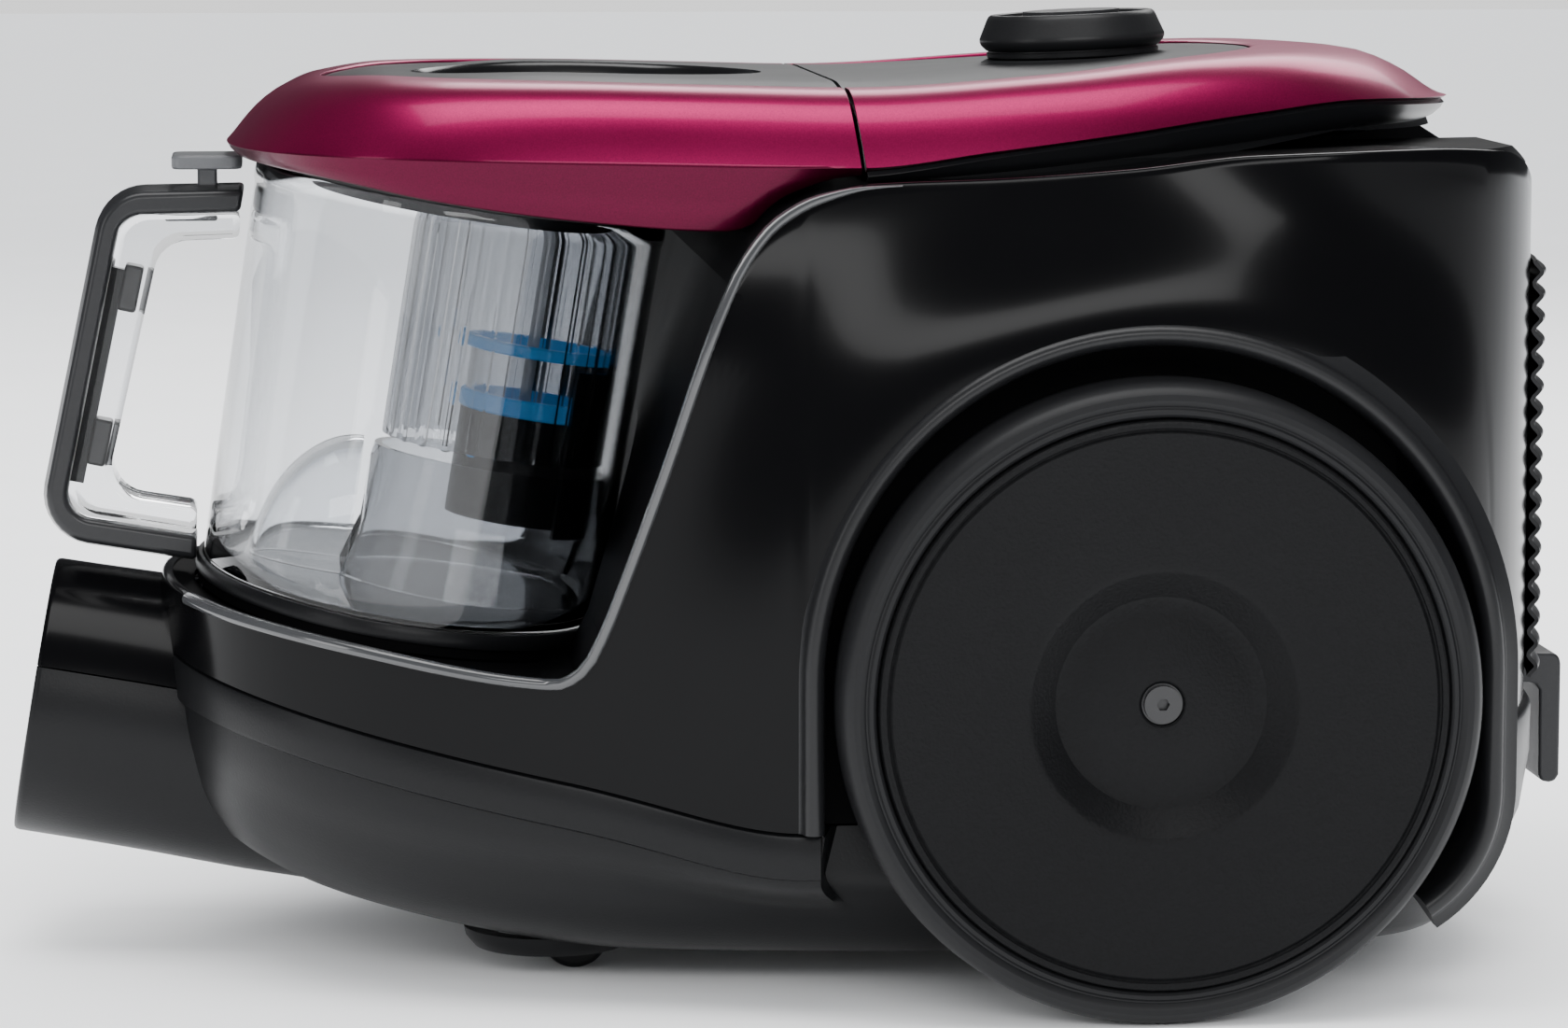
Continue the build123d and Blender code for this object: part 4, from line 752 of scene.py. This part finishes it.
# ---------------------------------------------------------------- clear bin
# The dust bin is one clear moulding, an oval tub with a draft, thick at its floor and with a rolled rim.
# Its handle is a clear loop with a dark cover snapped over the outside.
bin_lean = radians(9.3)
bin_a, bin_b = 51.5, 86
bin_foot = Vector((-98.3, 0, 90.6))
bin_up = Vector((sin(bin_lean), 0, cos(bin_lean)))
bin_fore = Vector((cos(bin_lean), 0, -sin(bin_lean)))
clear_wall = finish(
    "clear_wall", (0.85, 0.862, 0.878), 0.03, scale=30, bump=0, spread=0.01, tint=0.01,
    Transmission_Weight=1.0, IOR=1.38,
)
smoke_wall = finish(
    "smoke_wall", (0.46, 0.472, 0.49), 0.04, scale=30, bump=0, spread=0.02, tint=0.02,
    Transmission_Weight=1.0, IOR=1.25,
)


def bin_spot(along, y, h):
    """A place in the bin's own leaning frame."""
    return bin_foot + bin_fore * along + Vector((0, y, 0)) + bin_up * h


def oval(a, b, h, steps=160):
    """A level ring round the bin's axis."""
    turns = [2 * pi * k / steps for k in range(steps)]
    return [bin_spot(a * cos(turn), b * sin(turn), h) for turn in turns]


tub = [
    (-51.0, 0.3), (-2.6, 0.3), (-1.0, 0.5), (-0.2, 1.1), (0.05, 2.4), (0.1, 8), (0.6, 40), (1.05, 75),
    (1.35, 98.5), (1.75, 100.2), (1.85, 101.6), (1.55, 104.4), (1.2, 105.0), (-0.6, 105.0), (-0.8, 104.2),
    (-1.2, 75), (-1.7, 40), (-2.1, 9), (-2.4, 6), (-3.6, 3.6), (-5.6, 2.6), (-8.0, 2.4), (-51.0, 2.4),
]
floor_hole = 0.5  # both floor skins shrink to an oval with this half size, which is then closed
bm = bmesh.new()
loft(bm, [oval(bin_a + grow, bin_b + grow if grow > -20 else floor_hole, h) for grow, h in tub])
cap(bm)
piece("bin_tub", bm, clear_wall, "bin", "clear", "clear_bin", angle=35)
gasket = [
    (0.1, -1.6), (1.5, -1.4), (1.7, -0.8), (1.55, 1.9), (1.2, 2.3), (0.35, 2.3), (0.12, 1.9), (0.1, -1.6),
]
bm = bmesh.new()
loft(bm, [oval(bin_a + grow, bin_b + grow, h) for grow, h in gasket])
piece("bin_gasket", bm, matt_black, "bin", "rubber", angle=40)


def rounded(points, radius, steps=8):
    """A line with an arc at each inner corner."""
    line = [Vector(points[0])]
    for before, corner, after in zip(points, points[1:], points[2:]):
        before, corner, after = Vector(before), Vector(corner), Vector(after)
        a, b = (before - corner).normalized(), (after - corner).normalized()
        half = a.angle(b) / 2
        reach = radius / tan(half)
        centre = corner + (a + b).normalized() * (radius / sin(half))
        first, last = corner + a * reach - centre, corner + b * reach - centre
        line += [centre + first.slerp(last, k / steps).normalized() * radius for k in range(steps + 1)]
    return line + [Vector(points[-1])]


def strap(outer, inner, width, crown_out=0.0):
    """A band between an outer and an inner line in the side view."""
    bm = bmesh.new()
    rows = []
    for out, inn in zip(outer, inner):
        away = (out - inn).normalized() * crown_out
        rows.append([
            Vector((out.x, -width, out.y)), Vector((out.x + away.x, -width * 0.45, out.y + away.y)),
            Vector((out.x + away.x, width * 0.45, out.y + away.y)), Vector((out.x, width, out.y)),
            Vector((inn.x, width, inn.y)), Vector((inn.x, -width, inn.y)),
        ])
    loft(bm, rows)
    cap(bm)
    return bm


cover_out = rounded([(-137.2, 194.6), (-172, 194), (-190.5, 107), (-150.6, 100.3)], 12)
cover_in = rounded([(-138.2, 189.1), (-168.5, 188.6), (-184.5, 111.8), (-150.4, 106.0)], 7)
clear_out = rounded([(-138.2, 188.9), (-168.3, 188.4), (-184.2, 112.1), (-150.4, 106.2)], 7)
clear_in = rounded([(-138.4, 182.2), (-158.5, 181.6), (-173.6, 117.2), (-150.2, 113.4)], 9)
cover_finish = finish(
    "cover_satin", (0.013, 0.0133, 0.0145), 0.3, scale=900, bump=0.00002, spread=0.04, tint=0.2,
    Specular_IOR_Level=0.35,
)
bm = strap(cover_out, cover_in, 11.5, 1.2)
piece(
    "handle_spine", bm, cover_finish, "bin", "grey_matt", "handle_cover",
    angle=40, bevel=1.3, steps=3, limit=50,
)
bm = strap(clear_out, clear_in, 10.0)
piece("handle_loop", bm, clear_wall, "bin", "clear", angle=40, bevel=1.8, steps=3, limit=50)
leg = Vector((-0.2079, -0.9781))
across = Vector((leg.y, -leg.x))
for name, spot in (("guide_pad_top", Vector((-166.6, 169.5))), ("guide_pad_low", Vector((-175.0, 130.0)))):
    line = [spot - leg * 6, spot + leg * 6]
    bm = strap([p + across * 2.2 for p in line], [p - across * 2.6 for p in line], 6.0)
    piece(name, bm, cover_finish, "bin", "grey_matt", angle=40, bevel=0.8, steps=2)

# ---------------------------------------------------------------- inside the bin
# Dirty air rises through a clear dome in the floor.  A ribbed smoky tube hangs from the lid round the
# dark turbine, which has blue rings above and below its clear window.
cyclone_at, cyclone_r = 18.5, 29.5
rib_count, groove = 24, 0.55
bm = bmesh.new()
rows = []
for h in (40.0, 41.0, 60.0, 80.0, 104.0, 106.7):
    row = []
    for k in range(8 * rib_count):
        a = 2 * pi * k / (8 * rib_count)
        r = cyclone_r - (groove if k % 8 in (0, 1) and h > 40.5 else 0.0)
        row.append(bin_spot(cyclone_at + r * cos(a), r * sin(a), h))
    rows.append(row)
loft(bm, rows)
piece("cyclone_wall", bm, smoke_wall, "lid", "smoke_clear", "cyclone_tube", angle=20, wall=1.6)

bm = bmesh.new()
bmesh.ops.create_uvsphere(bm, u_segments=64, v_segments=40, radius=1.0)
bmesh.ops.scale(bm, vec=(25.5, 16.0, 38.0), verts=bm.verts)
slice_off(bm, (0, 0, 2.6), (0, 0, 1), False)
slice_off(bm, (0.1, 0, 0), (1, 0, 0), True)
place = Matrix((bin_fore, Vector((0, 1, 0)), bin_up)).transposed().to_4x4()
bmesh.ops.transform(bm, matrix=Matrix.Translation(bin_spot(-15.5, 0, 0)) @ place, verts=bm.verts)
piece("volute_dome", bm, clear_wall, "bin", "clear", "inlet_volute", angle=40, wall=1.6)

turbine_dark = finish(
    "turbine_dark", (0.012, 0.0125, 0.014), 0.3, scale=700, bump=0.00002, spread=0.04, tint=0.2,
)
turbine_at, shield_r, shield_turn = 26.5, 19.4, 124
turns = [radians(-shield_turn / 2 + shield_turn * k / 24) for k in range(25)]
rows = []
for h in (20.0, 40.0, 64.0):
    rows.append([bin_spot(turbine_at + shield_r * cos(a), shield_r * sin(a), h) for a in turns])
bm = bmesh.new()
loft(bm, rows, closed=False)
piece("turbine_shield", bm, turbine_dark, "lid", "black_matt", angle=40, wall=1.2)
# Painted light: the blue rings' finish glows a little through an emission, on top of their own blue, though
# they are no lamps.
blue = finish(
    "blue_with_painted_glow", (0.012, 0.36, 0.80), 0.28, scale=700, bump=0.00001, spread=0.03, tint=0.1,
    Emission_Color=(0.01, 0.3, 0.75, 1), Emission_Strength=0.35,
)
blue_thick, blue_edge = 3.4, 0.5
for name, node, r, low_h, high_h in (
    ("ring_blue", "blue_ring", 19.6, 65.6, 68.6), ("band_blue", "blue_band", 18.6, 50.0, 54.6),
):
    profile = [
        (r - blue_thick, low_h), (r - blue_edge, low_h), (r, low_h + blue_edge), (r, high_h - blue_edge),
        (r - blue_edge, high_h), (r - blue_thick, high_h),
    ]
    bm = spun(profile, bin_spot(turbine_at, 0, 0), bin_up, bin_fore, 96)
    piece(name, bm, blue, "lid", "blue", node, angle=30)

# ---------------------------------------------------------------- grille
# The exhaust grille is a matt moulded panel of rounded bars across the tail, with dark slots between them.
# It snaps into the rear of the polished shell and follows its curve.
grille_dark = finish(
    "grille_matt", (0.011, 0.0113, 0.0125), 0.42, scale=1100, bump=0.00004, spread=0.04, tint=0.2,
    Specular_IOR_Level=0.3,
)
grille_z, grille_tall, grille_half = 70.5, 107, 52
bars, bar_rows, bar_depth = 18, 240, 3.0
tail = [pair for pair in zip(body_points, body_normals) if pair[0].x > 150 and abs(pair[0].y) < grille_half]
rows = []
for k in range(bar_rows + 1):
    z = grille_z + grille_tall * k / bar_rows
    wave = (0.5 - 0.5 * cos(2 * pi * bars * (z - grille_z) / grille_tall)) ** 0.8
    row = []
    for point, normal in tail:
        depth = bar_depth * wave * (0.55 + 0.45 * (1 - (abs(point.y) / grille_half) ** 6))
        row.append(skin_spot(point, normal, z, 1.6 + depth))
    rows.append(row)
bm = bmesh.new()
loft(bm, rows, closed=False)
piece("grille_bars", bm, grille_dark, "body", "black_matt", "rear_grille", angle=60, wall=1.0)

# ---------------------------------------------------------------- parking hook and bumper
# A moulded hook on the tail parks the floor tool, and a matt strip wraps round the tail as a bumper.  Both
# are clipped to the lower shell.
bracket_grey = finish(
    "bracket_grey", (0.017, 0.0173, 0.019), 0.4, scale=1200, bump=0.00004, spread=0.04, tint=0.15,
    Specular_IOR_Level=0.3,
)
bm = bmesh.new()
hook = [
    (180, 72.5), (194, 72.5), (202.6, 72.2), (203.8, 71.2), (204.2, 69.4), (204.2, 40), (203.2, 38.4),
    (201.6, 38), (199.6, 38.4), (198.8, 40), (198.6, 62.5), (197.6, 64), (196, 64.6), (187, 64.8),
    (180, 64.8),
]
hook_half = 22
loft(bm, [[Vector((x, y, z)) for x, z in hook] for y in (-hook_half, hook_half)])
cap(bm)
piece("parking_hook", bm, bracket_grey, "body", "grey_matt", "parking_bracket", angle=40, bevel=0.7, steps=3)
bumper = [
    (0, 66), (2.2, 65.2), (3.4, 63.4), (3.2, 52), (1.0, 38), (-4.5, 25), (-12.5, 14.5), (-17, 11.6),
    (-21, 10.6), (-24, 11.5), (-23, 15), (-14, 19), (-8, 27), (-3, 39), (-1.6, 52), (-1.8, 66),
]
bumper_front, bumper_rear, bumper_half = 140, 196, 111
rows = []
for point, normal in zip(body_points, body_normals):
    if point.x > bumper_front:
        row = []
        for out, z in bumper:
            y = min(max(point.y + normal.y * out, -bumper_half), bumper_half)
            row.append(Vector((min(point.x + normal.x * out, bumper_rear), y, z)))
        rows.append(row)
bm = bmesh.new()
loft(bm, rows)
cap(bm)
piece("bumper_strip", bm, band_matt, "body", "black_matt", "rear_bumper", angle=40)

# ---------------------------------------------------------------- release button
# The T-shaped button over the handle is a plain grey moulding on a thin rod.  It keeps the frame's own
# shape, with its edges rounded as a mould leaves them.


def frame_mesh(node):
    """A copy of one of the frame's own pieces, in millimetres."""
    bm = bmesh.new()
    bm.from_mesh(frame["nodes"][node].data)
    bmesh.ops.scale(bm, vec=(1000, 1000, 1000), verts=bm.verts)
    return bm


button_grey = finish(
    "button_grey", (0.075, 0.077, 0.082), 0.3, scale=900, bump=0.00001, spread=0.03, tint=0.1,
)
bm = frame_mesh("release_button")
bmesh.ops.remove_doubles(bm, verts=bm.verts, dist=0.01)
bmesh.ops.dissolve_limit(bm, angle_limit=radians(1.0), verts=bm.verts, edges=bm.edges)
piece(
    "release_button_soft", bm, button_grey, "release_button", "grey_matt", "release_button",
    angle=30, bevel=0.7, steps=3, limit=40,
)

# ---------------------------------------------------------------- what stays as the frame has it
# Inner parts, keys, rod, castors and axles are shown as they are, in the finish that each is made in.  The
# two front housing screws are left out, because the lower shell is drawn in under the nose.
finishes = {
    "magenta_gloss": pearl, "black_gloss": gloss_black, "black_matt": matt_black, "grey_matt": bracket_grey,
    "clear": clear_wall, "smoke_clear": smoke_wall, "blue": blue, "tyre": tyre_rubber,
    "rubber": finish(
        "seal_rubber", (0.012, 0.012, 0.012), 0.6, scale=500, bump=0.00003, spread=0.05, tint=0.2,
    ),
    "steel": finish(
        "turned_steel", (0.42, 0.42, 0.43), 0.32, scale=300, bump=0.00001, spread=0.05, tint=0.05,
        Metallic=1.0,
    ),
    "filter_foam": finish(
        "filter_paper", (0.62, 0.63, 0.64), 0.9, scale=350, bump=0.0004, spread=0.05, tint=0.1,
    ),
    "board": finish(
        "circuit_board", (0.015, 0.09, 0.04), 0.4, scale=200, bump=0.00004, spread=0.05, tint=0.3,
    ),
    "copper": finish(
        "copper_windings", (0.45, 0.22, 0.1), 0.35, scale=500, bump=0.0001, spread=0.05, tint=0.2,
        Metallic=0.9,
    ),
}
pocket_dark = finish(
    "pocket_dark", (0.0022, 0.0022, 0.0025), 0.5, scale=900, bump=0.00001, spread=0.04, tint=0.1,
    Specular_IOR_Level=0.02,
)
screw_black = finish(
    "screw_black", (0.012, 0.012, 0.013), 0.35, scale=400, bump=0.00002, spread=0.05, tint=0.1,
)
screws_from_x = -90
bm = frame_mesh("housing_screws")
slice_off(bm, (screws_from_x, 0, 0), (1, 0, 0), False)
piece("housing_screws_shown", bm, finishes["steel"], "body", "steel", "housing_screws", angle=30)
own = {
    "upper_housing": pocket_dark, "bin_base": pocket_dark,
    "axle_screws": screw_black, "wheel_axles": screw_black,
}
slots = {}
for row in frame["record"]["subparts"]:
    slots[row.get("node", row.get("name"))] = row.get("material_slot", row.get("material"))
for name, node in frame["nodes"].items():
    node.data.materials.clear()
    node.data.materials.append(own.get(name, finishes[slots[name]]))
